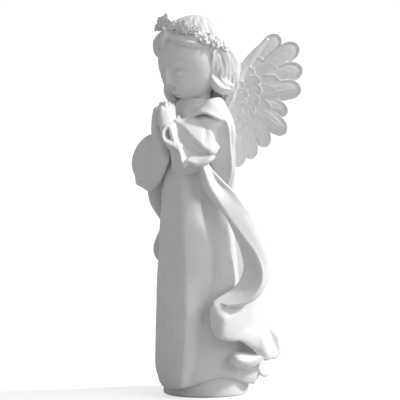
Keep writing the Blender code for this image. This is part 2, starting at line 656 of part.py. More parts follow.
def face_skin(rows=130, sides=210):
    """An egg with a jaw; brow, sockets, lids, nose, lips, cheeks and chin are soft mounds in front."""
    wide, deep, tall = HEAD["egg"]
    tilt = np.linspace(-math.pi / 2, math.pi / 2, rows + 2)[1:-1][:, None]
    angle = around(sides)[None, :]
    x = wide * np.cos(tilt) * np.sin(angle)
    y = -deep * np.cos(tilt) * np.cos(angle)
    z = tall * np.sin(tilt) + 0 * angle
    low = np.clip(-z / tall, 0, 1)
    front = np.clip(-y / deep, 0, 1)
    x = x * (1 - 0.24 * low**1.7) * np.cos(tilt) ** (-0.30 * low)
    y = y * (1 + 0.10 * low * front) - 5 * low**2 * front
    z = z - 7 * low**3 * front
    side = np.abs(x)
    ahead = np.clip(front * 3, 0, 1)

    def mound(cx, cz, wx, wz):
        return ridge(side - cx, wx) * ridge(z - cz, wz) * ahead

    def line(cx, cz, wx, wz, curve):
        return ridge(side - cx, wx) * ridge(z - cz - curve * ((side - cx) / 8) ** 2, wz) * ahead

    lift = -4.8 * mound(16.5, -6, 10.5, 8.0)
    lift += 6.6 * mound(17.5, -8.5, 7.8, 5.4)
    lift += -2.4 * line(17.5, -13.9, 8.0, 1.2, 2.2) + 1.2 * line(17.5, -12.0, 8.0, 1.0, 2.2)
    lift += -1.6 * line(17.5, -2.6, 8.5, 1.3, -1.8)
    lift += 2.6 * line(17, 6.5, 12, 3.6, -2.6)
    bridge = np.clip((2 - z) / 28, 0, 1) * ease((-24.0 - z) / -5)
    lift += (3.6 + 10.4 * bridge) * ridge(side,
        3.6 + 2.6 * bridge) * ease((10 - z) / 12) * ease((z + 31) / 4) * ahead
    lift += 2.4 * mound(0, -25.5, 4.4, 3.6) + 3.2 * mound(6.4, -27.2, 2.8, 3.0) - 1.6 * mound(3.6,
        -30.4, 2.0, 1.2)
    lift += -0.9 * mound(0, -34.5, 1.7, 3.0) + 0.8 * mound(2.9, -34.5, 1.5, 3.0)
    lift += 4.4 * mound(0, -43, 12, 7.5)
    lift += 2.4 * line(3.4, -40.2, 6.0, 2.0, -1.5) + 3.2 * mound(0, -47.2, 6.4, 2.6)
    lift += -3.4 * line(0, -43.6, 10, 1.1, 0.45) - 1.4 * mound(12, -43.2, 2.2, 2.2)
    lift += -2.2 * mound(0, -52.0, 8, 2.6) + 5.6 * mound(0, -58, 10, 7)
    lift += 4.2 * mound(22, -29, 13, 13)
    return placed_on_head(np.stack([x, y - lift, z], axis=-1))


def neck_skin():
    return tube([(0, -3, 412), (0, -3, 438), (0, -5, 460), (0, -9, 492)], [30, 23, 22, 27],
        [26, 20, 19, 26], (1, 0, 0), 40, 80)


HAIR = {
    "place": (0, -11, 534),
    "radii": (55, 58, 60),
    "back_path": ((0, 14, 548), (0, 30, 516), (0, 34, 480), (0, 32, 450), (0, 30, 424)),
    "back_widths": (44, 47, 45, 38, 24),
    "back_depths": (24, 22, 18, 15, 9),
    # Locks as seen from the left front, (right, up, near), from the parting to the tip, with their thickness
    "locks": (
        (((-46, 562, 40), (-58, 558, 32), (-67, 548, 20), (-66, 535, 14), (-60, 528, 12)),
            (7, 9, 9, 7, 4)),
        (((-42, 562, 46), (-54, 553, 41), (-63, 543, 32), (-63, 532, 26), (-55, 529, 27)),
            (7, 9, 8, 6, 4)),
        (((-44, 566, 48), (-52, 556, 50), (-58, 546, 46), (-54, 538, 44)), (7, 9, 8, 4)),
        (((-50, 560, 44), (-38, 553, 54), (-22, 546, 60), (-4, 541, 58), (8, 540, 52)),
            (6, 9, 11, 10, 7)),
        (((-42, 562, 50), (-26, 555, 57), (-8, 550, 58), (8, 546, 54)), (6, 9, 10, 8)),
        (((2, 552, 50), (14, 536, 46), (22, 522, 42), (24, 508, 38), (20, 496, 35), (25, 484, 33),
            (34, 476, 27), (45, 473, 19)), (8, 11, 11, 10, 9, 10, 9, 6)),
        (((12, 552, 44), (28, 538, 38), (36, 522, 32), (37, 507, 28), (33, 494, 25), (38, 484, 20),
            (48, 480, 12)), (9, 12, 12, 12, 11, 10, 6)),
        (((20, 554, 32), (34, 540, 24), (44, 524, 15), (47, 508, 9), (43, 494, 6), (48, 480, 0)),
            (10, 12, 13, 13, 12, 9)),
        (((26, 556, 10), (38, 538, 0), (49, 520, -10), (54, 502, -18), (52, 484, -20)),
            (10, 12, 13, 13, 9)),
        (((22, 560, -20), (38, 530, -34), (44, 504, -38), (42, 478, -38), (46, 456, -34)),
            (12, 12, 12, 11, 7)),
        (((4, 560, -40), (20, 530, -56), (26, 500, -60), (22, 472, -56), (26, 446, -50)),
            (12, 13, 13, 11, 7)),
        (((-20, 560, -40), (-10, 526, -60), (-6, 496, -62), (-12, 468, -56), (-6, 446, -50)),
            (13, 14, 14, 12, 8)),
        (((-40, 560, -20), (-40, 526, -40), (-36, 496, -48), (-40, 470, -46), (-34, 450, -42)),
            (12, 13, 13, 11, 7)),
        (((-50, 552, -4), (-50, 526, -22), (-46, 500, -32), (-48, 476, -34), (-42, 458, -32)),
            (10, 13, 13, 11, 7)),
    ),
}


def hair_cap_skin(rows=70, sides=160):
    """The combed crown: an egg with shallow waved grooves that run from the parting."""
    radii, place = HAIR["radii"], HAIR["place"]
    tilt = np.linspace(-math.pi / 2, math.pi / 2, rows + 2)[1:-1][:, None]
    angle = around(sides)[None, :]
    strands = np.cos(19 * angle + 3.0 * np.sin(3 * tilt) + 2 * np.sin(2 * angle)) + 0.6 * np.cos(34
        * angle + 5 * tilt)
    grow = 1 + 0.009 * strands * np.cos(tilt) ** 0.6 * ease((1.45 - tilt) / 0.5)
    x = radii[0] * np.cos(tilt) * np.sin(angle) * grow
    y = -radii[1] * np.cos(tilt) * np.cos(angle) * grow
    z = radii[2] * np.sin(tilt) * grow
    cut = np.clip((-y - 14) / 30, 0, 1) * np.clip((26 - z) / 26, 0, 1)
    return np.stack([x + place[0], y + cut * 34 + place[1], z + place[2]], axis=-1)


def hair_back_skin():
    """The mass of hair that falls between the wings, with waved strands."""
    strands = lambda share, angle: 1.4 * np.cos(14 * angle + 5 * np.sin(5 * share)) + 0.7 * np.cos(27
        * angle + 6 * np.sin(4 * share))
    return tube(HAIR["back_path"], HAIR["back_widths"], HAIR["back_depths"], (1, 0, 0), 90, 160,
        strands)


def lock_skin(path, radii, rows=50, sides=30):
    """A lock is a flattened tube that tapers to its tip, with strands twisted along it."""
    strands = lambda share, angle: 1.1 * np.cos(3 * angle + 8 * share) + 0.5 * np.cos(7 * angle + 13
        * share)
    return tube(seen_row(path), radii, [r * 0.8 for r in radii], (0, 1, 0.2), rows, sides, strands)


# Wreath

WREATH = {
    "centre": (0, -12, 554),
    "radius": 56,
    "dip": 0.37,  # slope, front up and back down
    "lean": 0.23,  # slope down to the figure's left
    "ends": (-118, 100),  # degrees from the front, where the garland tucks under the hair
    "flowers": 13,
    "flower_radius": 10.5,
    "leaves": 22,
}


def wreath_place(angle):
    """A point on the wreath and the way out of the head there; angle 0 is in front."""
    out = np.stack([np.sin(angle), -np.cos(angle), 0.35 + 0 * angle], axis=-1)
    radius = WREATH["radius"]
    level = (np.cos(angle) * WREATH["dip"] - np.sin(angle) * WREATH["lean"]) * radius
    place = np.stack([radius * 0.94 * np.sin(angle), -radius * np.cos(angle), level], axis=-1)
    return np.array(WREATH["centre"]) + place, unit(out)


def petal_skin(centre, out, up, size, cup, rows=8, sides=14):
    """A petal is a thin disc, bent up at its rim."""
    side = np.cross(out, up)
    tilt = np.linspace(-math.pi / 2, math.pi / 2, rows + 2)[1:-1][:, None]
    turn = around(sides)[None, :]
    r = np.cos(tilt)
    a, b = r * np.cos(turn) * size, r * np.sin(turn) * size * 0.9
    c = np.sin(tilt) * size * 0.34 + cup * (r * np.cos(turn)) ** 2 * size
    return centre + a[..., None] * up + b[..., None] * side + c[..., None] * out


def flower_skins(place, out, size, turned):
    """A small rose: five outer petals, three inner ones and a bud."""
    side = unit(np.cross(out, [0.3, 0.2, 1.0]))
    up = np.cross(side, out)
    shells = []
    for count, reach, petal, lift, cup in ((5, 0.60, 0.52, 0.0, 0.16), (3, 0.30, 0.42, 0.22, 0.30)):
        for n in range(count):
            angle = turned + FULL_TURN * n / count + lift
            way = math.cos(angle) * side + math.sin(angle) * up
            shells.append(petal_skin(place + way * size * reach + out * size * lift,
                unit(out - 0.35 * way), unit(way + 0.35 * out), size * petal, cup))
    bud = petal_skin(place + out * size * 0.35, out, up, size * 0.30, 0.1)
    return shells + [bud]


def leaf_skin(place, out, way, size, rows=12, sides=12):
    """A pointed leaf with a fold along its middle."""
    side = np.cross(out, way)
    share = np.linspace(0.02, 0.98, rows)[:, None]
    turn = around(sides)[None, :]
    wide = size * 0.42 * np.sin(math.pi * share**0.8)
    b = wide * np.cos(turn)
    c = 1.3 * np.sin(turn) * (wide / size + 0.2) + 0.35 * np.abs(b) + 2.5 * share
    return place + (size * 1.6 * share + 0 * turn)[..., None] * way + b[..., None] * side + c[...,
        None] * out


def wreath_skins():
    first, last = (math.radians(end) for end in WREATH["ends"])
    band = wreath_place(np.linspace(first, last, 65))[0]
    shells = [tube(band, [5.5, 5.5], [5.5, 5.5], (0, 0, 1), 96, 16, lambda share,
        turn: 0.8 * np.cos(3 * turn + 80 * share))]
    for n in range(WREATH["leaves"]):
        at = np.array(first + (last - first) * (n + 0.5) / WREATH["leaves"])
        place, out = wreath_place(at)
        along = unit(wreath_place(at + 0.05)[0] - place)
        way = unit(along * math.cos(2.4 * n) + np.array([0, 0, 1.0]) * (-1) ** n * 0.9 + out * 0.2)
        shells.append(leaf_skin(place + out * 2, unit(out - way * (out * way).sum()), way, 7.5))
    for n in range(WREATH["flowers"]):
        place, out = wreath_place(np.array(first + (last - first) * n / (WREATH["flowers"] - 1)))
        size = WREATH["flower_radius"] * (1.0, 0.8, 1.1, 0.9)[n % 4]
        shift = np.array([0, 0, (2.5, -3.0, 0.5)[n % 3]])
        shells += flower_skins(place + out * 3.5 + shift,
            unit(out + 0.25 * np.sin(n * 2.1) * np.array([0, 0, 1.0])), size, 1.3 * n)
    return shells


# Wings

WING = {
    "near": -28,  # depth of the blade's root as seen from the left front
    "root": (46, 448),
    "bend": 0.0012,
    "long": (  # root and tip as seen, half width
        ((78, 486), (126, 570), 14),
        ((84, 484), (155, 558), 16.5),
        ((90, 478), (164, 521), 17),
        ((92, 466), (164, 487), 17),
        ((90, 454), (144, 446), 15.5),
        ((88, 444), (143, 412), 16),
        ((80, 434), (113, 388), 15.5),
        ((70, 428), (88, 366), 14),
        ((60, 426), (65, 352), 14),
    ),
    "small": (
        ((62, 482), (84, 514), 11),
        ((62, 478), (96, 498), 11.5),
        ((60, 472), (100, 481), 12),
        ((58, 464), (98, 462), 12),
        ((54, 458), (91, 443), 12),
        ((50, 452), (81, 427), 12),
        ((46, 446), (66, 414), 11.5),
    ),
    "tiny": (
        ((48, 466), (68, 492), 10),
        ((46, 460), (77, 476), 10.5),
        ((44, 454), (77, 459), 10.5),
        ((42, 448), (71, 442), 10.5),
        ((40, 444), (60, 427), 10.5),
    ),
    "arm": ((36, 440, 15), (46, 462, 15), (57, 484, 12), (70, 502, 9), (88, 521, 7), (104, 544, 5)),
}


def wing_point(right, up, out, side):
    """A point of the wing's blade, swept back and a little cupped."""
    along = right - WING["root"][0]
    cup = -WING["bend"] * (along**2 + 0.25 * (up - WING["root"][1]) ** 2)
    near = WING["near"] + out + cup
    c, s = math.cos(QUARTER), math.sin(QUARTER)
    x, y = right * c + near * s, right * s - near * c
    return np.stack([x * side, y, up + 0 * x], axis=-1)


def feather_skin(root, tip, half, height, side, rows=40, sides=28):
    """A feather is a blunt leaf, domed across, with a raised quill, barbs at a slant and a lifted rim."""
    root, tip = np.array(root, float), np.array(tip, float)
    length = np.linalg.norm(tip - root)
    along, across = (tip - root) / length, np.array([-(tip - root)[1], (tip - root)[0]]) / length
    share = 1 - (1 - np.linspace(0.02, 0.9995, rows)[:, None]) ** 1.4
    turn = around(sides)[None, :]
    blunt = min(0.45, 1.15 * half / length)
    tip_round = np.sqrt(np.clip(1 - (np.clip(share - 1 + blunt, 0, 1) / blunt) ** 2, 0, 1))
    wide = half * tip_round * (0.78 + 0.22 * np.clip(share / 0.6, 0, 1))
    run = -8 + (length + 8) * share
    side_way = wide * np.cos(turn)
    edge = np.abs(side_way) / np.maximum(wide, 0.1)
    top = ease(np.sin(turn) * 2)
    dome = 1.6 * (1 - (side_way / half) ** 2)
    rim = np.sqrt((side_way / half) ** 2 + (np.clip(share - 1 + blunt, 0, 1) / blunt) ** 2)
    dome = dome + 1.5 * ridge(rim - 0.93, 0.10) * ease((share - 0.5) / 0.3) - 1.0 * ridge(rim - 0.72,
        0.16) * ease((share - 0.4) / 0.3)
    out = height * (0.75 + 0.25 * share) + dome + 1.8 * np.sin(turn) * (0.3 + 0.7 * wide / half)
    out = out + 0.8 * ridge(side_way, 1.2) * top * ease((0.9 - share) / 0.2) + 0.12 * side_way
    barbs = np.cos(FULL_TURN * (np.abs(side_way) / 4.6 - run / 26)) + 0.5 * np.cos(FULL_TURN
        * (np.abs(side_way) / 2.9 - run / 13))
    out = out + 0.30 * barbs * top * ease(edge / 0.25) * ease((1.15 - rim) / 0.4)
    curl = 0.06 * length * share**2
    right = root[0] + along[0] * run + across[0] * (side_way - curl)
    up = root[1] + along[1] * run + across[1] * (side_way - curl)
    return wing_point(right, up, out, side)


def wing_skins(side):
    shells = []
    for name, height in (("long", 0), ("small", 4), ("tiny", 7)):
        for n, (root, tip, half) in enumerate(WING[name]):
            shells.append(feather_skin(root, tip, half, height + 0.9 * (n % 2), side))
            if name == "long":
                inner = (np.array(WING["root"]) + root) / 2
                shells.append(feather_skin(inner, (np.array(root) + tip) / 2, half, 0.5, side, 40, 36))
    arm = [wing_point(np.array(r * 1.0), np.array(u * 1.0), np.array(3.0), side) for r, u,
        w in WING["arm"]]
    sizes = [w for r, u, w in WING["arm"]]
    shells.append(tube(arm, sizes, [w * 0.8 for w in sizes], (0, 0, 1), 60, 40))
    return shells


def plinth_skin():
    """A low oval foot, rounded where it meets the floor; in metres."""
    edge = PLINTH_EDGE
    height = PLINTH_SHOW + PLINTH_RISE
    profile = [(-edge, 0), (-edge * 0.3, edge * 0.3), (0, edge), (0, height)]
    rings = []
    for inset, up in profile:
        angle = around(96)
        x, y = (PLINTH_HALF_WIDTH + inset) * np.sin(angle), -(PLINTH_HALF_DEPTH + inset) * np.cos(angle)
        rings.append(np.stack([x, y + PLINTH_BACK, 0 * angle + up], axis=-1))
    return np.array(rings)


def gown_skins():
    return [gown_skin(), train_skin()]


def cloak_skins():
    skins = [sash_skin(), far_sash_skin(), cape_skin(), shawl_skin(), collar_skin(), far_sleeve_skin()]
    skins += [upper_arm_skin(1, ARMS["near_elbow"]), upper_arm_skin(-1, ARMS["far_elbow"])]
    return skins + ruffle_skins() + near_sleeve_skins() + hand_skins(1) + hand_skins(-1)


def head_skins():
    skins = [neck_skin(), face_skin(), hair_cap_skin(), hair_back_skin()]
    return skins + [lock_skin(path, radii) for path, radii in HAIR["locks"]]


def figure_skins():
    return gown_skins() + cloak_skins() + head_skins() + wreath_skins() + wing_skins(1) + wing_skins(-1)


# Building

def mesh_of_skins(name, skins):
    """Joins the rings of each skin, closes both ends with a fan, and puts all the skins in one mesh."""
    points, faces, start = [], [], 0
    for skin in skins:
        rows, count = skin.shape[:2]
        flat = np.concatenate([skin.reshape(-1, 3), skin[:1].mean(1), skin[-1:].mean(1)])
        ring, pole = np.arange(count), rows * count
        after = np.roll(ring, -1)
        first = (np.arange(rows - 1)[:, None] * count + ring).ravel()
        second = (np.arange(rows - 1)[:, None] * count + after).ravel()
        last = ring + (rows - 1) * count
        sides = np.stack([first, second, second + count, first, second + count, first + count], axis=1)
        low = np.stack([ring, np.full(count, pole), after], axis=1)
        high = np.stack([last, after + (rows - 1) * count, np.full(count, pole + 1)], axis=1)
        triangles = np.concatenate([sides.reshape(-1, 3), low, high])
        a, b, c = (flat[triangles[:, n]] for n in range(3))
        if np.einsum("ij,ij->i", a, np.cross(b, c)).sum() < 0:
            triangles = triangles[:, ::-1]
        points.append(flat)
        faces.append(triangles + start)
        start += len(flat)
    mesh = bpy.data.meshes.new(name)
    mesh.from_pydata(np.concatenate(points), [], np.concatenate(faces))
    mesh.update()
    return mesh


def plaster():
    material = bpy.data.materials.new("plaster")
    material.use_nodes = True
    shader = material.node_tree.nodes["Principled BSDF"]
    shader.inputs["Base Color"].default_value = PLASTER_COLOUR
    shader.inputs["Roughness"].default_value = PLASTER_ROUGHNESS
    shader.inputs["Metallic"].default_value = 0.0
    return material


def fuse(obj):
    """Fuses the overlapping skins to one, at the cell of the casting."""
    remesh = obj.modifiers.new("cast", "REMESH")
    remesh.mode = "VOXEL"
    remesh.voxel_size = CAST_CELL
    bpy.context.view_layer.update()
    graph = bpy.context.evaluated_depsgraph_get()
    whole = bpy.data.meshes.new_from_object(obj.evaluated_get(graph))
    obj.modifiers.clear()
    obj.data = whole


def keep_outer_skin(obj):
    """Parts the fused skins, and keeps the largest, so no sealed hollow stays inside."""
    bpy.ops.object.select_all(action="DESELECT")
    obj.select_set(True)
    bpy.context.view_layer.objects.active = obj
    bpy.ops.mesh.separate(type="LOOSE")
    skins = sorted(bpy.context.selected_objects, key=lambda o: len(o.data.vertices))
    for skin in skins[:-1]:
        bpy.data.objects.remove(skin, do_unlink=True)
    skins[-1].name = "angel"
    return skins[-1]


def main():
    for old in list(bpy.data.objects):
        bpy.data.objects.remove(old, do_unlink=True)
    skins = [skin * MM + np.array([0, 0, PLINTH_SHOW]) for skin in figure_skins()]
    angel = bpy.data.objects.new("angel", mesh_of_skins("angel", skins + [plinth_skin()]))
    bpy.context.scene.collection.objects.link(angel)
    fuse(angel)
    angel = keep_outer_skin(angel)
    thin = angel.modifiers.new("thin", "DECIMATE")
    faces = len(angel.data.polygons) * 2
    thin.ratio = CAST_TRIANGLES / faces
    thin.use_collapse_triangulate = True
    angel.data.materials.clear()
    angel.data.materials.append(plaster())


main()
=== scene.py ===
import math

import bpy
import numpy as np
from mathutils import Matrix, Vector


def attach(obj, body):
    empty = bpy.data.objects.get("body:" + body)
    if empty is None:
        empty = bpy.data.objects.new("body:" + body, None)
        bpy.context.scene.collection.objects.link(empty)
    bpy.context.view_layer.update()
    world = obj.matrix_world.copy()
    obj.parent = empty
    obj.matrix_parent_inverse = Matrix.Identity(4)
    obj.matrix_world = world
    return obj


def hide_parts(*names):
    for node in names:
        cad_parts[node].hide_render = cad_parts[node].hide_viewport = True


# A praying child angel, cast in white plaster in one piece with a low plinth.
# It faces -Y with its left side at +X, and stands on the floor. Carving is in millimetres.

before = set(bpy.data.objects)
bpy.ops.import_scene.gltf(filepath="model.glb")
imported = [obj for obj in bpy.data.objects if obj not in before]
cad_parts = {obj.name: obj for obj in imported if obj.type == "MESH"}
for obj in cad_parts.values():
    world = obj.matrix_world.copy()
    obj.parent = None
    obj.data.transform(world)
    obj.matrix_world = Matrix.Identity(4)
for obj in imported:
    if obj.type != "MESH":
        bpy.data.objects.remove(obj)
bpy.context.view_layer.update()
print("frame loaded:", ", ".join(sorted(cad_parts)))

plinth = {  # in metres
    "show": 0.010,  # the figure stands this high
    "rise": 0.022,  # how far it goes up inside the hem
    "halfWidth": 0.067,
    "halfDepth": 0.070,
    "back": 0.014,
    "edge": 0.003,
}

fullTurn = 2 * math.pi
quarter = math.radians(45)  # side from which the pose is laid out


def seen(right, near, up):
    # A point laid out as it looks from the figure's left front: to the right, nearer, up.
    c, s = math.cos(quarter), math.sin(quarter)
    return np.array([right * c + near * s, right * s - near * c, up])


def seenRow(points):
    # The same for a row of points given as (right, up, near).
    return np.array([seen(right, near, up) for right, up, near in points])


def through(knots, share):
    # A Catmull-Rom curve through evenly spaced knots, at these shares of its run.
    knots = np.asarray(knots, float)
    first, last = 2 * knots[:1] - knots[1:2], 2 * knots[-1:] - knots[-2:-1]
    padded = np.concatenate([first, knots, last])
    place = np.clip(share, 0, 1) * (len(knots) - 1)
    span = np.minimum(place.astype(int), len(knots) - 2)
    f = place - span
    f = f.reshape(f.shape + (1,) * (knots.ndim - 1))
    a, b, c, d = (padded[span + i] for i in range(4))
    square, cube = 2 * a - 5 * b + 4 * c - d, 3 * b - a - 3 * c + d
    return 0.5 * (2 * b + (c - a) * f + square * f**2 + cube * f**3)


def between(places, knots, at):
    # Smooth values at uneven places, by running a curve through the knots.
    return through(knots, np.interp(at, places, np.linspace(0, 1, len(places))))


def unit(v):
    # Vectors divided by their length.
    return v / np.maximum(np.linalg.norm(v, axis=-1, keepdims=True), 1e-9)


def away(angle, centre):
    # How far an angle is from a centre, the short way round.
    return (angle - centre + math.pi) % fullTurn - math.pi


def ridge(offset, width):
    # A bell: 1 at no offset, 0.37 at this width.
    return np.exp(-((offset / width) ** 2))


def ease(x):
    # Goes from 0 to 1 with flat ends.
    x = np.clip(x, 0, 1)
    return x * x * (3 - 2 * x)


def around(count):
    # Angles of a whole turn, evenly spaced.
    return np.linspace(0, fullTurn, count, endpoint=False)


def tube(knots, widths, depths, side, rows, sides, carve=None):
    # Rings of an elliptical profile carried along a curve, with domed ends.
    share = np.linspace(0, 1, rows)
    centre = through(knots, share)
    along = unit(np.gradient(centre, axis=0))
    across = through(side, share) if np.ndim(side) == 2 else np.tile(side, (rows, 1)).astype(float)
    across = unit(across - along * (across * along).sum(1, keepdims=True))
    normal = np.cross(along, across)
    wide, deep = through(widths, share), through(depths, share)
    angle = around(sides)
    more = np.zeros((rows, sides)) if carve is None else carve(share[:, None], angle[None, :])
    flat = (wide[:, None] + more) * np.cos(angle)
    tall = (deep[:, None] + more) * np.sin(angle)
    rings = centre[:, None] + flat[..., None] * across[:, None] + tall[..., None] * normal[:, None]
    dome = [(math.sin(a), math.cos(a)) for a in np.radians([25, 50, 75])]
    startRing = [rings[0] - centre[0], along[0] * -min(wide[0], deep[0])]
    endRing = [rings[-1] - centre[-1], along[-1] * min(wide[-1], deep[-1])]
    start = [centre[0] + startRing[0] * c + startRing[1] * s for s, c in dome[::-1]]
    end = [centre[-1] + endRing[0] * c + endRing[1] * s for s, c in dome]
    return np.concatenate([start, rings, end])


def net(knots, rows, columns):
    # A smooth surface through a net of knots: rows across, columns along.
    across = through(np.asarray(knots, float), np.linspace(0, 1, rows))
    return np.swapaxes(through(np.swapaxes(across, 0, 1), np.linspace(0, 1, columns)), 0, 1)


def slab(surface, thick):
    # Cloth of this thickness on a surface: rings that go out over it and back under it.
    along = np.gradient(surface, axis=0)
    across = np.gradient(surface, axis=1)
    normal = unit(np.cross(along, across))
    half = np.broadcast_to(thick, surface.shape[:2])[..., None] / 2
    over, under = surface + normal * half, surface - normal * half
    edge = unit(across) * half
    first = over[:, :1] * 0.5 + under[:, :1] * 0.5 - edge[:, :1]
    last = over[:, -1:] * 0.5 + under[:, -1:] * 0.5 + edge[:, -1:]
    return np.concatenate([over, last, under[:, ::-1], first], axis=1)


def netSkin(columns, rows, count, thick):
    # Cloth through a net given as columns of knots as seen: this many rows across and places along.
    knots = np.array([seenRow(column) for column in columns]).swapaxes(0, 1)
    return slab(net(knots, rows, count).swapaxes(0, 1), thick)


def polar(angle, radiusX, radiusFront, radiusBack):
    # An oval's X and Y at angles from the front towards the figure's left.
    x = radiusX * np.sin(angle)
    y = -np.where(np.cos(angle) > 0, radiusFront, radiusBack) * np.cos(angle)
    return x, y


# Gown

gown = {
    "levels": (0, 8, 20, 60, 120, 200, 270, 330, 380, 420, 445, 460),
    "ovals": (  # centre towards the back, half width, reach to the front, reach to the back
        (14, 76.5, 79.5, 80.5),
        (14, 79, 82, 83),
        (14, 80, 83, 84),
        (13, 78, 81, 82),
        (9, 74, 77, 80),
        (5, 69, 70, 73),
        (1, 63, 64, 63),
        (-3, 57, 59, 54),
        (-5, 54, 50, 50),
        (-7, 52, 42, 46),
        (-8, 44, 34, 38),
        (-9, 26, 24, 26),
    ),
    "foldLevels": (0, 100, 200, 300),
    "foldSteps": 60,  # levels that the folds are worked out at
    "foldTop": 440,  # where they end, and the height over which they fade
    "foldFade": 90,
    "foldSeam": 208,  # degrees, where the list of folds ends
    "foldAngles": (  # degrees from the front towards the figure's left, at each fold level
        (-152, -150, -148, -150),
        (-132, -129, -130, -131),
        (-108, -106, -109, -112),
        (-86, -84, -88, -90),
        (-60, -62, -58, -62),
        (-38, -36, -34, -34),
        (-6, -8, -10, -8),
        (20, 26, 26, 23),
        (25, 43, 60, 52),
        (46, 64, 72, 68),
        (78, 84, 87, 84),
        (90, 98, 105, 99),
        (112, 116, 120, 118),
        (130, 131, 134, 134),
        (146, 148, 147, 149),
        (162, 163, 160, 164),
        (179, 176, 180, 178),
        (195, 192, 195, 194),
        (208, 210, 212, 210),
    ),
    "foldHeights": (
        (6.5, 6.5, 5.5, 4.5),
        (-2.5, -2.5, -1.5, -1.0),
        (5.5, 5.5, 4.5, 3.5),
        (-3.0, -3.0, -2.0, -1.5),
        (3.5, 3.5, 3.0, 2.5),
        (-1.5, -1.0, -1.0, -1.0),
        (1.5, 0.6, 0.6, 1.0),
        (8.5, 10.5, 11.0, 8.0),
        (1.0, -8.0, -9.0, -7.0),
        (-1.5, -3.5, -2.5, -1.5),
        (4.0, 3.0, 2.0, 3.0),
        (-5.0, -6.0, -7.0, -5.0),
        (6.0, 5.5, 5.0, 4.5),
        (-3.0, -2.5, -2.0, -1.5),
        (7.5, 7.0, 6.0, 5.0),
        (-2.0, -2.5, -2.0, -1.0),
        (8.0, 7.5, 6.0, 4.5),
        (-2.0, -2.0, -1.5, -1.0),
        (6.5, 6.5, 5.5, 4.5),
    ),
    "arches": (  # where the hem rises between its tips: height, angle, width
        (22, 66, 37),
        (21, -60, 35),
        (12, 170, 40),
    ),
}


def gownFolds(angle, up):
    # Height of the folds: straight runs between a level's crests and hollows, rounded over 1.4 degrees.
    levels = np.array(gown["foldLevels"], float)
    at = np.interp(np.clip(up, levels[0], levels[-1]), levels, np.linspace(0, 1, len(levels)))
    steps = gown["foldSteps"]
    angles = through(np.array(gown["foldAngles"], float).T, np.linspace(0, 1, steps + 1))
    heights = through(np.array(gown["foldHeights"], float).T, np.linspace(0, 1, steps + 1))
    turn = np.degrees(angle) % 360
    turn = np.where(turn > gown["foldSeam"], turn - 360, turn)
    level = at * steps
    low = np.minimum(level.astype(int), steps - 1)
    total = np.zeros(np.broadcast(turn, up).shape)
    turn, low, level = np.broadcast_arrays(turn, low, level)
    for n in np.unique(low):
        here = low == n
        share = (level - n)[here]
        values = []
        for row in (n, n + 1):
            run = 0
            for offset, weight in ((-1.4, 0.2), (-0.5, 0.3), (0.5, 0.3), (1.4, 0.2)):
                place = turn[here] + offset
                run = run + weight * np.interp(place, angles[row], heights[row], period=360)
            values.append(run)
        total[here] = values[0] * (1 - share) + values[1] * share
    return total * np.clip((gown["foldTop"] - up) / gown["foldFade"], 0, 1)


def gownOval(up):
    # The oval at a height: its centre, half width, reach to the front and to the back.
    shape = np.shape(up)
    ovals = between(gown["levels"], gown["ovals"], np.ravel(up)).reshape(shape + (4,))
    return tuple(ovals[..., i] for i in range(4))


def gownSkin(rows=110, sides=240):
    # The gown is an oval that changes with height, pushed out by the folds.
    angle = around(sides)[None, :]
    top = gown["levels"][-1]
    level = np.linspace(0, 1, rows)[:, None]
    arch = 1 + 0 * angle
    for height, place, width in gown["arches"]:
        arch = arch + height * ridge(away(angle, math.radians(place)), math.radians(width))
    up = arch + (top - arch) * level
    back, half, front, rear = gownOval(np.broadcast_to(top * level, up.shape))
    waver = 0.5 * np.sin(9 * angle + up / 23) * np.sin(up / 31 + 2 * np.sin(angle))
    folds = gownFolds(angle, up) + waver
    x, y = polar(angle, half + folds, front + folds, rear + folds)
    return np.stack([x, y + back, up], axis=-1)


# Train: the cloak's hem behind

train = {
    "angles": (106, 116, 127, 138, 150, 163, 176, 192, 210, 231, 254, 276, 296),
    "hem": (78, 44, 24, 17, 22, 40, 30, 46, 34, 50, 42, 60, 92),
    "reach": (-5, 1, 8, 15, 21, 16, 26, 16, 26, 13, 20, 8, -4),
    "top": 190,
    "edge": 6,
}


def trainSkin(rows=26, sides=170):
    # The flare grows with the square of the way down, most where the gown's folds crest.
    angles = np.radians(train["angles"])
    angle = np.linspace(angles[0], angles[-1], sides)[None, :]
    hem = between(angles, np.array(train["hem"], float), angle[0])[None, :]
    reach = between(angles, np.array(train["reach"], float), angle[0])[None, :]
    top, edge = train["top"], train["edge"]
    down = np.linspace(0, 1, rows)[:, None]
    turn = np.linspace(0, math.pi, 5)[:, None][1:-1]
    up = np.concatenate([  # outside, rounded hem, then back up inside the gown
        top + (hem - top) * down,
        hem - edge * 0.6 * np.sin(turn),
        hem + 12 + 0 * angle,
        hem * 0.5 + top * 0.5,
    ])
    out = np.concatenate([
        reach * down**1.8,
        reach - edge * (1 - np.cos(turn)) / 2,
        reach * 0.2 - 14 + 0 * angle,
        -22 + 0 * angle,
    ])
    inset = np.concatenate([1 - down, 0 * turn, [[0], [0]]])
    back, half, front, rear = gownOval(up)
    out = out + 0.7 * gownFolds(angle, up) - 4 * inset
    x, y = polar(angle, half + out, front + out, rear + out)
    return np.swapaxes(np.stack([x, y + back, up], axis=-1), 0, 1)


# The cloak's front corner, blown into ruffles below the sash. Each column of knots runs from the hem up,
# (right, up, near) as seen from the left front: hem, crest of the turned edge, middle, upper, top.

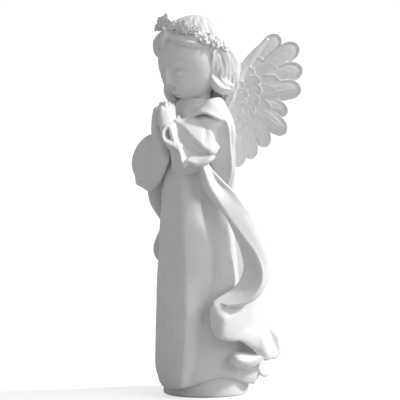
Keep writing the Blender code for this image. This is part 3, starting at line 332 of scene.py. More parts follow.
ruffle = {
    "columns": (
        ((21, 139, 84), (24, 139, 83), (30, 141, 80), (40, 143, 74), (52, 146, 66)),
        ((17, 128, 84), (28, 125, 88), (40, 129, 82), (52, 134, 72), (62, 148, 60)),
        ((18, 112, 83), (34, 115, 92), (47, 119, 83), (60, 128, 71), (70, 150, 56)),
        ((20, 100, 84), (34, 103, 93), (50, 110, 83), (65, 124, 69), (77, 152, 52)),
        ((26, 89, 87), (35, 92, 94), (53, 102, 83), (70, 120, 67), (83, 154, 48)),
        ((36, 85, 91), (40, 88, 92), (57, 97, 82), (75, 116, 65), (87, 155, 44)),
        ((50, 83, 88), (52, 88, 87), (64, 96, 78), (79, 112, 62), (90, 156, 40)),
        ((62, 83, 82), (63, 88, 81), (72, 95, 73), (83, 109, 58), (91, 156, 36)),
        ((76, 74, 73), (78, 80, 73), (82, 91, 67), (88, 106, 54), (92, 157, 33)),
        ((86, 65, 62), (89, 73, 64), (91, 87, 61), (92, 103, 51), (93, 158, 30)),
        ((93, 54, 50), (98, 66, 56), (97, 82, 57), (95, 100, 48), (94, 160, 27)),
        ((98, 50, 42), (103, 60, 47), (104, 78, 41), (99, 97, 36), (94, 162, 23)),
        ((105, 48, 33), (108, 57, 33), (107, 75, 27), (102, 96, 26), (94, 163, 19)),
        ((114, 49, 23), (114, 57, 21), (111, 74, 16), (105, 96, 17), (94, 164, 15)),
        ((122, 50, 14), (121, 58, 13), (116, 75, 10), (107, 98, 12), (93, 165, 10)),
        ((128, 57, 6), (127, 65, 7), (122, 81, 7), (109, 101, 9), (92, 167, 4)),
        ((129, 71, -8), (128, 77, -5), (124, 90, -2), (111, 106, 3), (90, 168, -3)),
        ((125, 80, -20), (125, 85, -18), (121, 97, -13), (111, 111, -6), (88, 169, -10)),
        ((124, 94, -28), (122, 98, -27), (117, 105, -22), (108, 116, -16), (85, 171, -18)),
        ((100, 84, -46), (99, 90, -44), (95, 102, -39), (89, 118, -32), (78, 173, -28)),
    ),
    "swirl": (  # the hem's rolled tongue below: upper lip, hollow, lower lip
        ((45, 50, 77), (46, 49, 77), (47, 47, 76)),
        ((53, 60, 73), (57, 53, 84), (57, 42, 78)),
        ((66, 61, 66), (69, 50, 79), (70, 38, 72)),
        ((79, 59, 57), (82, 50, 68), (84, 41, 61)),
        ((92, 62, 43), (95, 56, 52), (98, 49, 46)),
        ((103, 66, 30), (105, 62, 36), (107, 57, 32)),
    ),
    "thick": 5,
}


def ruffleSkins():
    # Two cloths: the blown corner and the tongue below it.
    thick = ruffle["thick"]
    return [netSkin(ruffle["columns"], 44, 260, thick), netSkin(ruffle["swirl"], 24, 70, thick * 0.8)]


# Sash: the cloak's edge, which swings from the elbow to the front of the knees

sash = {
    # Inner edge, outer edge, nearness, rise of the crest, its place across, depth of the upper groove
    "net": (
        ((0, 350), (10, 356), 78, 3, 0.35, 0),
        ((3, 336), (20, 343), 82, 4, 0.28, 4),
        ((9, 316), (34, 328), 80, 4, 0.22, 7),
        ((25, 294), (53, 309), 75, 3, 0.14, 4),
        ((44, 270), (75, 278), 67, 1, 0.08, 1),
        ((57, 243), (90, 250), 58, 5, 0.26, 0),
        ((66, 218), (103, 218), 50, 9, 0.52, 0),
        ((70, 192), (107, 192), 48, 11, 0.70, 0),
        ((63, 171), (103, 170), 54, 11, 0.82, 0),
        ((47, 157), (91, 152), 64, 9, 0.88, 0),
        ((30, 147), (70, 139), 74, 6, 0.92, 0),
        ((20, 140), (42, 135), 81, 3, 0.92, 0),
    ),
    "thick": 6,
}


def sashSkin(rows=44, columns=170):
    # A band with one crest along it: above the crest it faces forward, beyond it turns to the side.
    lines = [[], [], [], [], [], []]
    for a, b, near, rise, place, groove in sash["net"]:
        a, b = np.array(a, float), np.array(b, float)
        at = lambda share: a + (b - a) * share
        side = 12 * (1 - place) + 6
        knots = (
            (at(0), near),
            (at(place * 0.5), near + rise * 0.3),
            (at(place * 0.95), near + rise),
            (at(place + (1 - place) * 0.1), near + rise - side * 0.08),
            (at(place + (1 - place) * 0.62), near + rise - side * 0.5 - groove),
            (at(1), near + rise - side),
        )
        for line, (flat, depth) in zip(lines, knots):
            line.append(seen(flat[0], depth, flat[1]))
    return slab(net(lines, rows, columns).swapaxes(0, 1), sash["thick"])


farSash = {
    "path": (
        (-74, -30, 336), (-78, -16, 300), (-70, 0, 262), (-82, -4, 218), (-70, 12, 192), (-82, 2, 166),
        (-70, 22, 128), (-56, 40, 90),
    ),
    "widths": (14, 17, 15, 17, 15, 15, 14, 8),
    "depths": (5, 6, 5, 6, 5, 5, 5, 4),
}


def farSashSkin(rows=90, sides=36):
    # The other end of the cloak, a flat band that waves down the right side.
    return tube(farSash["path"], farSash["widths"], farSash["depths"], (0.35, 0.94, 0), rows, sides)


# Sleeves

arms = {
    "shoulder": (37, -4, 418),
    "nearElbow": (44, -26, 388),
    "farElbow": (-76, -36, 364),
}
nearSleeve = {
    # Columns from the wrist to the elbow, knots (right, up, near): behind the top, top, puff, lip, crease,
    # valley, arc, band, edge, under
    "columns": (
        (
            (-37, 424, 44), (-37, 424, 56), (-38, 423, 62), (-39, 421, 64), (-40, 420, 64),
            (-41, 420, 64), (-42, 419, 66), (-45, 418, 68), (-49, 417, 68), (-45, 415, 58),
        ),
        (
            (-25, 423, 44), (-26, 424, 54), (-29, 420, 61), (-31, 417, 65), (-32, 415, 65),
            (-34, 412, 65), (-36, 410, 66), (-41, 407, 74), (-46, 405, 82), (-40, 403, 68),
        ),
        (
            (-15, 427, 42), (-16, 428, 52), (-19, 419, 61), (-21, 409, 70), (-22, 406, 69),
            (-27, 401, 68), (-32, 397, 68), (-37, 394, 76), (-42, 391, 85), (-34, 390, 70),
        ),
        (
            (-6, 428, 42), (-6, 428, 50), (-8, 416, 60), (-11, 398, 75), (-12, 395, 73),
            (-19, 388, 71), (-25, 383, 70), (-29, 380, 79), (-33, 377, 89), (-26, 371, 70),
        ),
        (
            (4, 424, 42), (3, 425, 50), (3, 409, 61), (0, 388, 79), (-1, 385, 76),
            (-9, 379, 74), (-15, 373, 73), (-21, 363, 84), (-27, 352, 94), (-18, 352, 74),
        ),
        (
            (8, 420, 42), (7, 422, 50), (8, 404, 61), (5, 383, 80), (4, 380, 77),
            (-3, 375, 75), (-8, 371, 74), (-13, 364, 84), (-19, 357, 94), (-10, 355, 76),
        ),
        (
            (14, 414, 42), (13, 417, 50), (16, 399, 63), (11, 379, 79), (9, 377, 77),
            (4, 373, 75), (0, 369, 74), (-2, 362, 84), (-3, 353, 94), (3, 353, 78),
        ),
        (
            (18, 398, 44), (20, 394, 54), (24, 384, 66), (19, 373, 77), (17, 371, 75),
            (17, 370, 73), (16, 368, 72), (15, 364, 80), (13, 360, 89), (17, 360, 74),
        ),
        (
            (29, 388, 44), (30, 384, 52), (29, 379, 60), (25, 373, 70), (23, 371, 70),
            (22, 370, 70), (21, 368, 70), (20, 367, 72), (19, 366, 74), (22, 365, 62),
        ),
    ),
    "farLip": (  # the mouth's far side: edge, turn, inside
        ((-50, 416, 78), (-48, 414, 72), (-42, 411, 54)),
        ((-55, 410, 82), (-52, 408, 76), (-40, 404, 54)),
        ((-58, 402, 86), (-54, 401, 79), (-38, 398, 54)),
        ((-56, 391, 90), (-52, 393, 82), (-35, 394, 55)),
        ((-49, 385, 92), (-45, 389, 84), (-30, 391, 57)),
        ((-41, 381, 92), (-38, 387, 85), (-25, 388, 59)),
        ((-32, 374, 92), (-29, 381, 86), (-20, 381, 62)),
    ),
    "drape": (  # the back half of the bell, which hangs lower: top and bottom
        ((-46, 380, 54), (-44, 360, 52), (-42, 346, 52)),
        ((-30, 372, 66), (-29, 354, 62), (-29, 341, 61)),
        ((-16, 368, 74), (-16, 352, 69), (-16, 341, 67)),
        ((-3, 366, 78), (-3, 352, 74), (-3, 345, 71)),
        ((8, 366, 78), (8, 356, 76), (8, 351, 78)),
        ((18, 368, 74), (17, 364, 73), (16, 361, 74)),
    ),
    "thick": 5,
}
farSleeve = {
    "stations": (  # centre as seen (right, up, near), half depth, rise, drop, lean of the drop
        ((-92, 350, -38), 8, 8, 12, 0),
        ((-91, 352, -28), 18, 18, 32, 0),
        ((-86, 358, -12), 25, 29, 44, -2),
        ((-78, 368, 8), 27, 33, 52, -4),
        ((-67, 380, 28), 22, 26, 50, -6),
        ((-55, 392, 46), 14, 16, 36, -8),
    ),
}


def upperArmSkin(side, elbow, width=17):
    # A round arm from the shoulder to the elbow, bowed outwards, which the cape hides.
    shoulder = (side * arms["shoulder"][0], arms["shoulder"][1], arms["shoulder"][2])
    middle = [(a + b) / 2 for a, b in zip(shoulder, elbow)]
    middle[0] += side * 4
    widths = [width, width, width * 0.85]
    return tube([shoulder, middle, elbow], widths, widths, (0, 0, 1), 40, 60)


def nearSleeveSkins():
    # Three cloths: the bell's near side, the mouth's far lip and the hanging back half.
    thick = nearSleeve["thick"]
    return [
        netSkin(nearSleeve["columns"], 90, 110, thick),
        netSkin(nearSleeve["farLip"], 24, 50, thick * 0.8),
        netSkin(nearSleeve["drape"], 24, 60, thick),
    ]


def farSleeveSkin(rows=70, sides=120):
    # A bell sleeve: drop-shaped rings from the elbow to the mouth, which closes on the gown.
    centres = seenRow([s[0] for s in farSleeve["stations"]])
    sizes = np.array([s[1:] for s in farSleeve["stations"]], float)
    share = np.concatenate([np.linspace(0, 1, rows), [1.02, 1.03, 1.03]])
    shrink = np.concatenate([np.ones(rows), [0.93, 0.8, 0.4]])[:, None]
    at = np.minimum(share, 1)
    centre = through(centres, at)
    ahead = unit(np.gradient(through(centres, np.linspace(0, 1, rows)), axis=0))
    ahead = ahead[np.minimum(np.arange(len(share)), rows - 1)]
    centre = centre + ahead * ((share - at) * 100)[:, None]
    depth, rise, drop, lean = (through(sizes, at)[:, i : i + 1] * shrink for i in range(4))
    across = unit(np.cross(ahead, [0, 0, 1]))
    angle = around(sides)[None, :]
    low = np.clip(-np.sin(angle), 0, 1)
    run = at[:, None]
    line = np.radians(-62 + 46 * run)
    folds = 3.2 * ridge(away(angle, line), 0.16) - 2.4 * ridge(away(angle, line + 0.42), 0.26)
    folds = folds * np.sin(math.pi * run) ** 0.7
    folds = folds - 2.0 * ridge(away(angle, line - 0.5), 0.3) * np.sin(math.pi * run)
    flare = 2.5 * ease((low - 0.7) / 0.3) * ease((run - 0.25) / 0.3)
    x = (depth + folds + flare) * np.cos(angle) * (1 - 0.25 * low**2)
    z = (np.where(np.sin(angle) > 0, rise, drop) + folds + flare) * np.sin(angle)
    back = -lean * low**2
    rings = centre[:, None] + x[..., None] * across[:, None] + z[..., None] * np.array([0, 0, 1.0])
    return rings + back[..., None] * ahead[:, None]


# Cape over the shoulders and arms; each row is (radius, height) at the angles from the front

cape = {
    "centre": -8,
    "angles": (0, 25, 45, 60, 70, 82, 95, 105, 120, 140, 180),
    "top": (
        (26, 416), (28, 420), (30, 430), (32, 436), (33, 438), (34, 440),
        (34, 442), (34, 443), (34, 444), (34, 444), (34, 444),
    ),
    "shoulder": (
        (34, 412), (40, 416), (47, 425), (52, 428), (55, 427), (61, 424),
        (71, 420), (66, 418), (58, 414), (54, 412), (52, 410),
    ),
    "middle": (
        (36, 408), (44, 412), (52, 416), (57, 406), (60, 398), (65, 388),
        (76, 382), (70, 378), (62, 376), (58, 374), (56, 370),
    ),
    "low": (
        (36, 404), (44, 410), (54, 411), (58, 390), (60, 374), (65, 358),
        (76, 346), (70, 342), (62, 344), (58, 346), (56, 340),
    ),
    "hem": (
        (35, 402), (43, 408), (54, 407), (58, 376), (59, 352), (61, 332),
        (66, 321), (66, 319), (60, 322), (57, 326), (56, 318),
    ),
}
shawl = {
    "angles": (0, 20, 41, 55, 72, 100, 115, 135, 180),
    "inner": (
        (27, 419), (29, 424), (31, 433), (33, 441), (34, 450),
        (36, 455), (36, 455), (36, 452), (36, 450),
    ),
    "crest": (
        (30, 421), (34, 428), (39, 438), (41, 447), (42, 457),
        (43, 461), (43, 460), (43, 458), (42, 455),
    ),
    "slope": (
        (34, 420), (39, 429), (47, 437), (50, 444), (53, 448),
        (57, 441), (58, 434), (57, 428), (56, 424),
    ),
    "edge": (
        (35, 414), (42, 426), (53, 433), (58, 437), (62, 430),
        (66, 415), (65, 401), (63, 390), (60, 382),
    ),
    "thick": 5,
}
collar = {  # the roll that hugs the neck
    "roll": (  # angle, radius, height
        (0, 24, 420), (20, 26, 424), (40, 28, 434), (62, 30, 445),
        (90, 32, 453), (120, 33, 452), (150, 33, 448), (180, 33, 446),
    ),
    "thick": (4.0, 6.0),  # in front, then at the sides and behind
}


def roundNeck(angle, radius, up):
    # A point at this angle and radius from the cape's upright axis.
    return np.stack([radius * np.sin(angle), cape["centre"] - radius * np.cos(angle), up], axis=-1)


def capeSkin(rows=70, sides=240):
    # The cloth runs from under the shawl over the shoulder to its hem, then turns in.
    angle = around(sides)
    turned = np.degrees(np.abs(away(angle, 0)))
    names = ("top", "shoulder", "middle", "low", "hem")
    share = np.linspace(0, 1, rows)
    levels = [between(cape["angles"], np.array(cape[name], float), turned) for name in names]
    flat = through(np.stack(levels), share)
    down = share[:, None]
    crest = 2.2 * ridge(turned - 87 - 6 * down, 1.8) - 1.2 * ridge(turned - 91 - 6 * down, 2.4)
    flat[..., 0] += crest * ease(down * 3)
    pleats = 2.2 * np.cos(np.radians(turned - 180) * 11)
    flat[..., 0] += pleats * ease((turned - 125) / 25) * ease(down * 2)
    hem = np.stack([flat[-1] + [-2.0, -3.0], flat[-1] + [-6, -3], flat[-1] + [-10, 3]])
    inner = np.stack([flat[-1] * [0.5, 1] + [0, 8], flat[-1] * [0.15, 1] + [0, 12]])
    top = np.stack([flat[0] * [0.2, 1] + [0, 2], flat[0] * [0.7, 1]])
    flat = np.concatenate([top, flat, hem, inner])
    return roundNeck(angle, flat[..., 0], flat[..., 1])


def shawlSkin(rows=40, sides=260):
    # A band of cloth round the shoulders, from the neck over its crest to a free edge that stands off.
    angle = around(sides)
    turned = np.degrees(np.abs(away(angle, 0)))
    names = ("inner", "crest", "slope", "edge")
    share = np.linspace(0, 1, rows)
    levels = [between(shawl["angles"], np.array(shawl[name], float), turned) for name in names]
    flat = through(np.stack(levels), share)
    sway = 1.4 * np.sin(3 * math.pi * share)[:, None] * np.sin(np.radians(turned) * 4)
    flat[..., 0] += sway * ease((turned - 40) / 40)
    thick = shawl["thick"]
    along = unit(np.gradient(flat, axis=0))
    normal = np.stack([-along[..., 1], along[..., 0]], axis=-1)
    normal *= np.sign(normal[..., 1:2].mean())
    under = (flat - normal * thick)[::-1]
    tip = flat[-1:] + along[-1:] * thick * 0.45 - normal[-1:] * thick * 0.5
    back = flat[:1] - along[:1] * thick * 0.45 - normal[:1] * thick * 0.5
    ring = np.concatenate([flat, tip, under, back, flat[:1]])
    rings = roundNeck(angle, ring[..., 0], ring[..., 1])
    return np.swapaxes(rings, 0, 1)


def collarSkin(count=160):
    # A roll of cloth round the neck.
    turn = np.linspace(0, fullTurn, count)
    turned = np.degrees(np.abs(away(turn, 0)))
    roll = np.array(collar["roll"], float)
    flat = between(roll[:, 0], roll[:, 1:], turned)
    path = roundNeck(turn, flat[:, 0] + 0.8 * np.sin(5 * turn), flat[:, 1])
    size = np.interp(turned, (0, 90), collar["thick"])
    return tube(path, size, size * 0.9, (0, 0, 1), count, 24)


# Hands

hands = {
    "palm": ((12, -64, 384), (10.5, -74, 403), (8, -80, 422), (6.8, -80, 436)),
    "palmWidths": (15, 20, 17.5, 15),
    "palmDepths": (11, 10, 7.8, 6.4),
    "firstFinger": -67,
    "fingerStep": 8.2,
    "fingerReach": (447, 450, 449, 442),
    "fingerWidths": (5.8, 5.6, 5.2, 3.8),
    "fingerDepths": (6.2, 5.8, 5.3, 3.8),
    "thumb": ((11, -63, 404), (10, -58, 416), (7, -56, 429)),
    "thumbWidths": (7.0, 5.6, 4.0),
    "thumbDepths": (6.5, 5.4, 4.0),
}


def handSkins(side):
    # A flat palm and four fingers pointing up, pressed to the other hand at X = 0.
    path = [(side * x, y, z) for x, y, z in hands["palm"]]
    shells = [tube(path, hands["palmWidths"], hands["palmDepths"], (0, 1, 0), 24, 40)]

    def knuckles(share, angle):
        return 0.35 * np.cos(share * 12.5 + 2.5)

    for n, reach in enumerate(hands["fingerReach"]):
        y = hands["firstFinger"] - hands["fingerStep"] * n
        path = [
            (side * 6.2, y, 418),
            (side * 6.0, y - 0.4, 428),
            (side * 5.4, y + 0.6, 438),
            (side * 4.4, y + 1.2 + 0.5 * n, reach),
        ]
        widths, depths = hands["fingerWidths"], hands["fingerDepths"]
        shells.append(tube(path, widths, depths, (0, 1, 0), 26, 24, knuckles))
    path = [(side * x, y, z) for x, y, z in hands["thumb"]]
    shells.append(tube(path, hands["thumbWidths"], hands["thumbDepths"], (0, 1, 0), 20, 24))
    return shells


# Head

head = {
    "place": (0, -22, 520),
    "nod": 19,  # degrees forward
    "egg": (49, 53, 60),  # half width, half depth, half height
}


def placedOnHead(points):
    # Turns points of the head's own frame to the bowed head.
    nod = math.radians(head["nod"])
    c, s = math.cos(nod), math.sin(nod)
    x, y, z = np.moveaxis(points, -1, 0)
    return np.stack([x, y * c - z * s, y * s + z * c], axis=-1) + head["place"]


def faceSkin(rows=260, sides=420):
    # An egg with a jaw; brow, sockets, lids, nose, lips, cheeks and chin are soft mounds in front.
    wide, deep, tall = head["egg"]
    tilt = np.linspace(-math.pi / 2, math.pi / 2, rows + 2)[1:-1][:, None]
    angle = around(sides)[None, :]
    x = wide * np.cos(tilt) * np.sin(angle)
    y = -deep * np.cos(tilt) * np.cos(angle)
    z = tall * np.sin(tilt) + 0 * angle
    low = np.clip(-z / tall, 0, 1)
    front = np.clip(-y / deep, 0, 1)
    x = x * (1 - 0.24 * low**1.7) * np.cos(tilt) ** (-0.30 * low)
    y = y * (1 + 0.10 * low * front) - 5 * low**2 * front
    z = z - 7 * low**3 * front
    side = np.abs(x)
    ahead = np.clip(front * 3, 0, 1)

    def mound(cx, cz, wx, wz):
        return ridge(side - cx, wx) * ridge(z - cz, wz) * ahead

    def line(cx, cz, wx, wz, curve):
        return ridge(side - cx, wx) * ridge(z - cz - curve * ((side - cx) / 8) ** 2, wz) * ahead

    lift = -4.8 * mound(16.5, -6, 10.5, 8.0)  # sockets
    lift += 6.6 * mound(17.5, -8.5, 7.8, 5.4)  # closed lids, their lashes and the crease above
    lift += -2.4 * line(17.5, -13.9, 8.0, 1.2, 2.2) + 1.2 * line(17.5, -12.0, 8.0, 1.0, 2.2)
    lift += -1.6 * line(17.5, -2.6, 8.5, 1.3, -1.8)
    lift += 2.6 * line(17, 6.5, 12, 3.6, -2.6)  # brow
    bridge = np.clip((2 - z) / 28, 0, 1) * ease((-24.0 - z) / -5)
    nose = (3.6 + 10.4 * bridge) * ridge(side, 3.6 + 2.6 * bridge)
    lift += nose * ease((10 - z) / 12) * ease((z + 31) / 4) * ahead
    tip = 2.4 * mound(0, -25.5, 4.4, 3.6) + 3.2 * mound(6.4, -27.2, 2.8, 3.0)
    lift += tip - 1.6 * mound(3.6, -30.4, 2.0, 1.2)
    lift += -0.9 * mound(0, -34.5, 1.7, 3.0) + 0.8 * mound(2.9, -34.5, 1.5, 3.0)  # below the nose
    lift += 4.4 * mound(0, -43, 12, 7.5)  # lips, the line between them and their corners
    lift += 2.4 * line(3.4, -40.2, 6.0, 2.0, -1.5) + 3.2 * mound(0, -47.2, 6.4, 2.6)
    lift += -3.4 * line(0, -43.6, 10, 1.1, 0.45) - 1.4 * mound(12, -43.2, 2.2, 2.2)
    lift += -2.2 * mound(0, -52.0, 8, 2.6) + 5.6 * mound(0, -58, 10, 7)  # chin
    lift += 4.2 * mound(22, -29, 13, 13)  # cheeks
    return placedOnHead(np.stack([x, y - lift, z], axis=-1))


neck = {
    "path": ((0, -3, 412), (0, -3, 438), (0, -5, 460), (0, -9, 492)),
    "widths": (30, 23, 22, 27),
    "depths": (26, 20, 19, 26),
}


def neckSkin():
    # An oval tube from between the shoulders into the head.
    return tube(neck["path"], neck["widths"], neck["depths"], (1, 0, 0), 40, 80)


hair = {
    "place": (0, -11, 534),
    "radii": (55, 58, 60),
    "backPath": ((0, 14, 548), (0, 30, 516), (0, 34, 480), (0, 32, 450), (0, 30, 424)),
    "backWidths": (44, 47, 45, 38, 24),
    "backDepths": (24, 22, 18, 15, 9),
    # Locks as seen from the left front, (right, up, near), from the parting to the tip, then their
    # thickness there
    "locks": (
        (
            ((-46, 562, 40), (-58, 558, 32), (-67, 548, 20), (-66, 535, 14), (-60, 528, 12)),
            (7, 9, 9, 7, 4),
        ),
        (
            ((-42, 562, 46), (-54, 553, 41), (-63, 543, 32), (-63, 532, 26), (-55, 529, 27)),
            (7, 9, 8, 6, 4),
        ),
        (
            ((-44, 566, 48), (-52, 556, 50), (-58, 546, 46), (-54, 538, 44)),
            (7, 9, 8, 4),
        ),
        (
            ((-50, 560, 44), (-38, 553, 54), (-22, 546, 60), (-4, 541, 58), (8, 540, 52)),
            (6, 9, 11, 10, 7),
        ),
        (
            ((-42, 562, 50), (-26, 555, 57), (-8, 550, 58), (8, 546, 54)),
            (6, 9, 10, 8),
        ),
        (
            (
                (2, 552, 50), (14, 536, 46), (22, 522, 42), (24, 508, 38),
                (20, 496, 35), (25, 484, 33), (34, 476, 27), (45, 473, 19),
            ),
            (8, 11, 11, 10, 9, 10, 9, 6),
        ),
        (
            (
                (12, 552, 44), (28, 538, 38), (36, 522, 32), (37, 507, 28),
                (33, 494, 25), (38, 484, 20), (48, 480, 12),
            ),
            (9, 12, 12, 12, 11, 10, 6),
        ),
        (
            (
                (20, 554, 32), (34, 540, 24), (44, 524, 15), (47, 508, 9),
                (43, 494, 6), (48, 480, 0),
            ),
            (10, 12, 13, 13, 12, 9),
        ),
        (
            ((26, 556, 10), (38, 538, 0), (49, 520, -10), (54, 502, -18), (52, 484, -20)),
            (10, 12, 13, 13, 9),
        ),
        (
            ((22, 560, -20), (38, 530, -34), (44, 504, -38), (42, 478, -38), (46, 456, -34)),
            (12, 12, 12, 11, 7),
        ),
        (
            ((4, 560, -40), (20, 530, -56), (26, 500, -60), (22, 472, -56), (26, 446, -50)),
            (12, 13, 13, 11, 7),
        ),
        (
            ((-20, 560, -40), (-10, 526, -60), (-6, 496, -62), (-12, 468, -56), (-6, 446, -50)),
            (13, 14, 14, 12, 8),
        ),
        (
            ((-40, 560, -20), (-40, 526, -40), (-36, 496, -48), (-40, 470, -46), (-34, 450, -42)),
            (12, 13, 13, 11, 7),
        ),
        (
            ((-50, 552, -4), (-50, 526, -22), (-46, 500, -32), (-48, 476, -34), (-42, 458, -32)),
            (10, 13, 13, 11, 7),
        ),
    ),
}


def hairCapSkin(rows=110, sides=260):
    # The combed crown: an egg with shallow waved grooves that run from the parting.
    radii, place = hair["radii"], hair["place"]
    tilt = np.linspace(-math.pi / 2, math.pi / 2, rows + 2)[1:-1][:, None]
    angle = around(sides)[None, :]
    strands = np.cos(19 * angle + 3.0 * np.sin(3 * tilt) + 2 * np.sin(2 * angle))
    strands = strands + 0.6 * np.cos(34 * angle + 5 * tilt)
    grow = 1 + 0.009 * strands * np.cos(tilt) ** 0.6 * ease((1.45 - tilt) / 0.5)
    x = radii[0] * np.cos(tilt) * np.sin(angle) * grow
    y = -radii[1] * np.cos(tilt) * np.cos(angle) * grow
    z = radii[2] * np.sin(tilt) * grow
    cut = np.clip((-y - 14) / 30, 0, 1) * np.clip((26 - z) / 26, 0, 1)
    return np.stack([x + place[0], y + cut * 34 + place[1], z + place[2]], axis=-1)


def hairBackSkin():
    # The mass of hair that falls between the wings, with waved strands.
    def strands(share, angle):
        broad = 1.4 * np.cos(14 * angle + 5 * np.sin(5 * share))
        return broad + 0.7 * np.cos(27 * angle + 6 * np.sin(4 * share))

    return tube(hair["backPath"], hair["backWidths"], hair["backDepths"], (1, 0, 0), 90, 160, strands)


def lockSkin(path, radii, rows=90, sides=48):
    # A lock is a flattened tube that tapers to its tip, with strands twisted along it.
    def strands(share, angle):
        return 1.1 * np.cos(3 * angle + 8 * share) + 0.5 * np.cos(7 * angle + 13 * share)

    return tube(seenRow(path), radii, [r * 0.8 for r in radii], (0, 1, 0.2), rows, sides, strands)


# Wreath

wreath = {
    "centre": (0, -12, 554),
    "radius": 56,
    "dip": 0.37,  # slope, front up and back down
    "lean": 0.23,  # slope down to the figure's left
    "ends": (-118, 100),  # degrees from the front, where the garland tucks under the hair
    "flowers": 13,
    "flowerRadius": 10.5,
    "leaves": 22,
}


def wreathPlace(angle):
    # A point on the wreath and the way out of the head there; angle 0 is in front.
    out = np.stack([np.sin(angle), -np.cos(angle), 0.35 + 0 * angle], axis=-1)
    radius = wreath["radius"]
    level = (np.cos(angle) * wreath["dip"] - np.sin(angle) * wreath["lean"]) * radius
    place = np.stack([radius * 0.94 * np.sin(angle), -radius * np.cos(angle), level], axis=-1)
    return np.array(wreath["centre"]) + place, unit(out)


def petalSkin(centre, out, up, size, cup, rows=8, sides=14):
    # A petal is a thin disc, bent up at its rim.
    side = np.cross(out, up)
    tilt = np.linspace(-math.pi / 2, math.pi / 2, rows + 2)[1:-1][:, None]
    turn = around(sides)[None, :]
    r = np.cos(tilt)
    a, b = r * np.cos(turn) * size, r * np.sin(turn) * size * 0.9
    c = np.sin(tilt) * size * 0.34 + cup * (r * np.cos(turn)) ** 2 * size
    return centre + a[..., None] * up + b[..., None] * side + c[..., None] * out


def flowerSkins(place, out, size, turned):
    # A small rose: five outer petals, three inner ones and a bud.
    side = unit(np.cross(out, [0.3, 0.2, 1.0]))
    up = np.cross(side, out)
    shells = []
    for count, reach, petal, lift, cup in ((5, 0.60, 0.52, 0.0, 0.16), (3, 0.30, 0.42, 0.22, 0.30)):
        for n in range(count):
            angle = turned + fullTurn * n / count + lift
            way = math.cos(angle) * side + math.sin(angle) * up
            spot = place + way * size * reach + out * size * lift
            face, stem = unit(out - 0.35 * way), unit(way + 0.35 * out)
            shells.append(petalSkin(spot, face, stem, size * petal, cup))
    bud = petalSkin(place + out * size * 0.35, out, up, size * 0.30, 0.1)
    return shells + [bud]


def leafSkin(place, out, way, size, rows=12, sides=12):
    # A pointed leaf with a fold along its middle.
    side = np.cross(out, way)
    share = np.linspace(0.02, 0.98, rows)[:, None]
    turn = around(sides)[None, :]
    wide = size * 0.42 * np.sin(math.pi * share**0.8)
    b = wide * np.cos(turn)
    c = 1.3 * np.sin(turn) * (wide / size + 0.2) + 0.35 * np.abs(b) + 2.5 * share
    spine = place + (size * 1.6 * share + 0 * turn)[..., None] * way
    return spine + b[..., None] * side + c[..., None] * out


def wreathSkins():
    # A twisted band, with leaves that point up and down by turns and flowers of four sizes.
    first, last = (math.radians(end) for end in wreath["ends"])
    band = wreathPlace(np.linspace(first, last, 65))[0]

    def twist(share, turn):
        return 0.8 * np.cos(3 * turn + 80 * share)

    shells = [tube(band, [5.5, 5.5], [5.5, 5.5], (0, 0, 1), 96, 16, twist)]
    for n in range(wreath["leaves"]):
        at = np.array(first + (last - first) * (n + 0.5) / wreath["leaves"])
        place, out = wreathPlace(at)
        along = unit(wreathPlace(at + 0.05)[0] - place)
        way = unit(along * math.cos(2.4 * n) + np.array([0, 0, 1.0]) * (-1) ** n * 0.9 + out * 0.2)
        shells.append(leafSkin(place + out * 2, unit(out - way * (out * way).sum()), way, 7.5))
    for n in range(wreath["flowers"]):
        place, out = wreathPlace(np.array(first + (last - first) * n / (wreath["flowers"] - 1)))
        size = wreath["flowerRadius"] * (1.0, 0.8, 1.1, 0.9)[n % 4]
        shift = np.array([0, 0, (2.5, -3.0, 0.5)[n % 3]])
        face = unit(out + 0.25 * np.sin(n * 2.1) * np.array([0, 0, 1.0]))
        shells += flowerSkins(place + out * 3.5 + shift, face, size, 1.3 * n)
    return shells


# Wings

wing = {
    "near": -28,  # depth of the blade's root as seen from the left front
    "root": (46, 448),
    "bend": 0.0012,
    "long": (  # root and tip as seen, half width
        ((70, 492), (124, 571), 15),
        ((84, 484), (155, 558), 16.5),
        ((90, 478), (164, 521), 17),
        ((92, 466), (164, 487), 17),
        ((90, 454), (144, 446), 15.5),
        ((88, 444), (143, 412), 16),
        ((80, 434), (113, 388), 15.5),
        ((70, 428), (88, 366), 14),
        ((60, 426), (65, 352), 14),
    ),
    "small": (
        ((62, 482), (84, 514), 11),
        ((62, 478), (96, 498), 11.5),
        ((60, 472), (100, 481), 12),
        ((58, 464), (98, 462), 12),
        ((54, 458), (91, 443), 12),
        ((50, 452), (81, 427), 12),
        ((46, 446), (66, 414), 11.5),
    ),
    "tiny": (
        ((48, 466), (68, 492), 10),
        ((46, 460), (77, 476), 10.5),
        ((44, 454), (77, 459), 10.5),
        ((42, 448), (71, 442), 10.5),
        ((40, 444), (60, 427), 10.5),
    ),
    "arm": ((36, 440, 15), (46, 464, 15), (58, 490, 12), (70, 511, 9), (88, 535, 7), (109, 559, 3)),
}


def wingPoint(right, up, out, side):
    # A point of the wing's blade, swept back and a little cupped.
    along = right - wing["root"][0]
    cup = -wing["bend"] * (along**2 + 0.25 * (up - wing["root"][1]) ** 2)
    near = wing["near"] + out + cup
    c, s = math.cos(quarter), math.sin(quarter)
    x, y = right * c + near * s, right * s - near * c
    return np.stack([x * side, y, up + 0 * x], axis=-1)


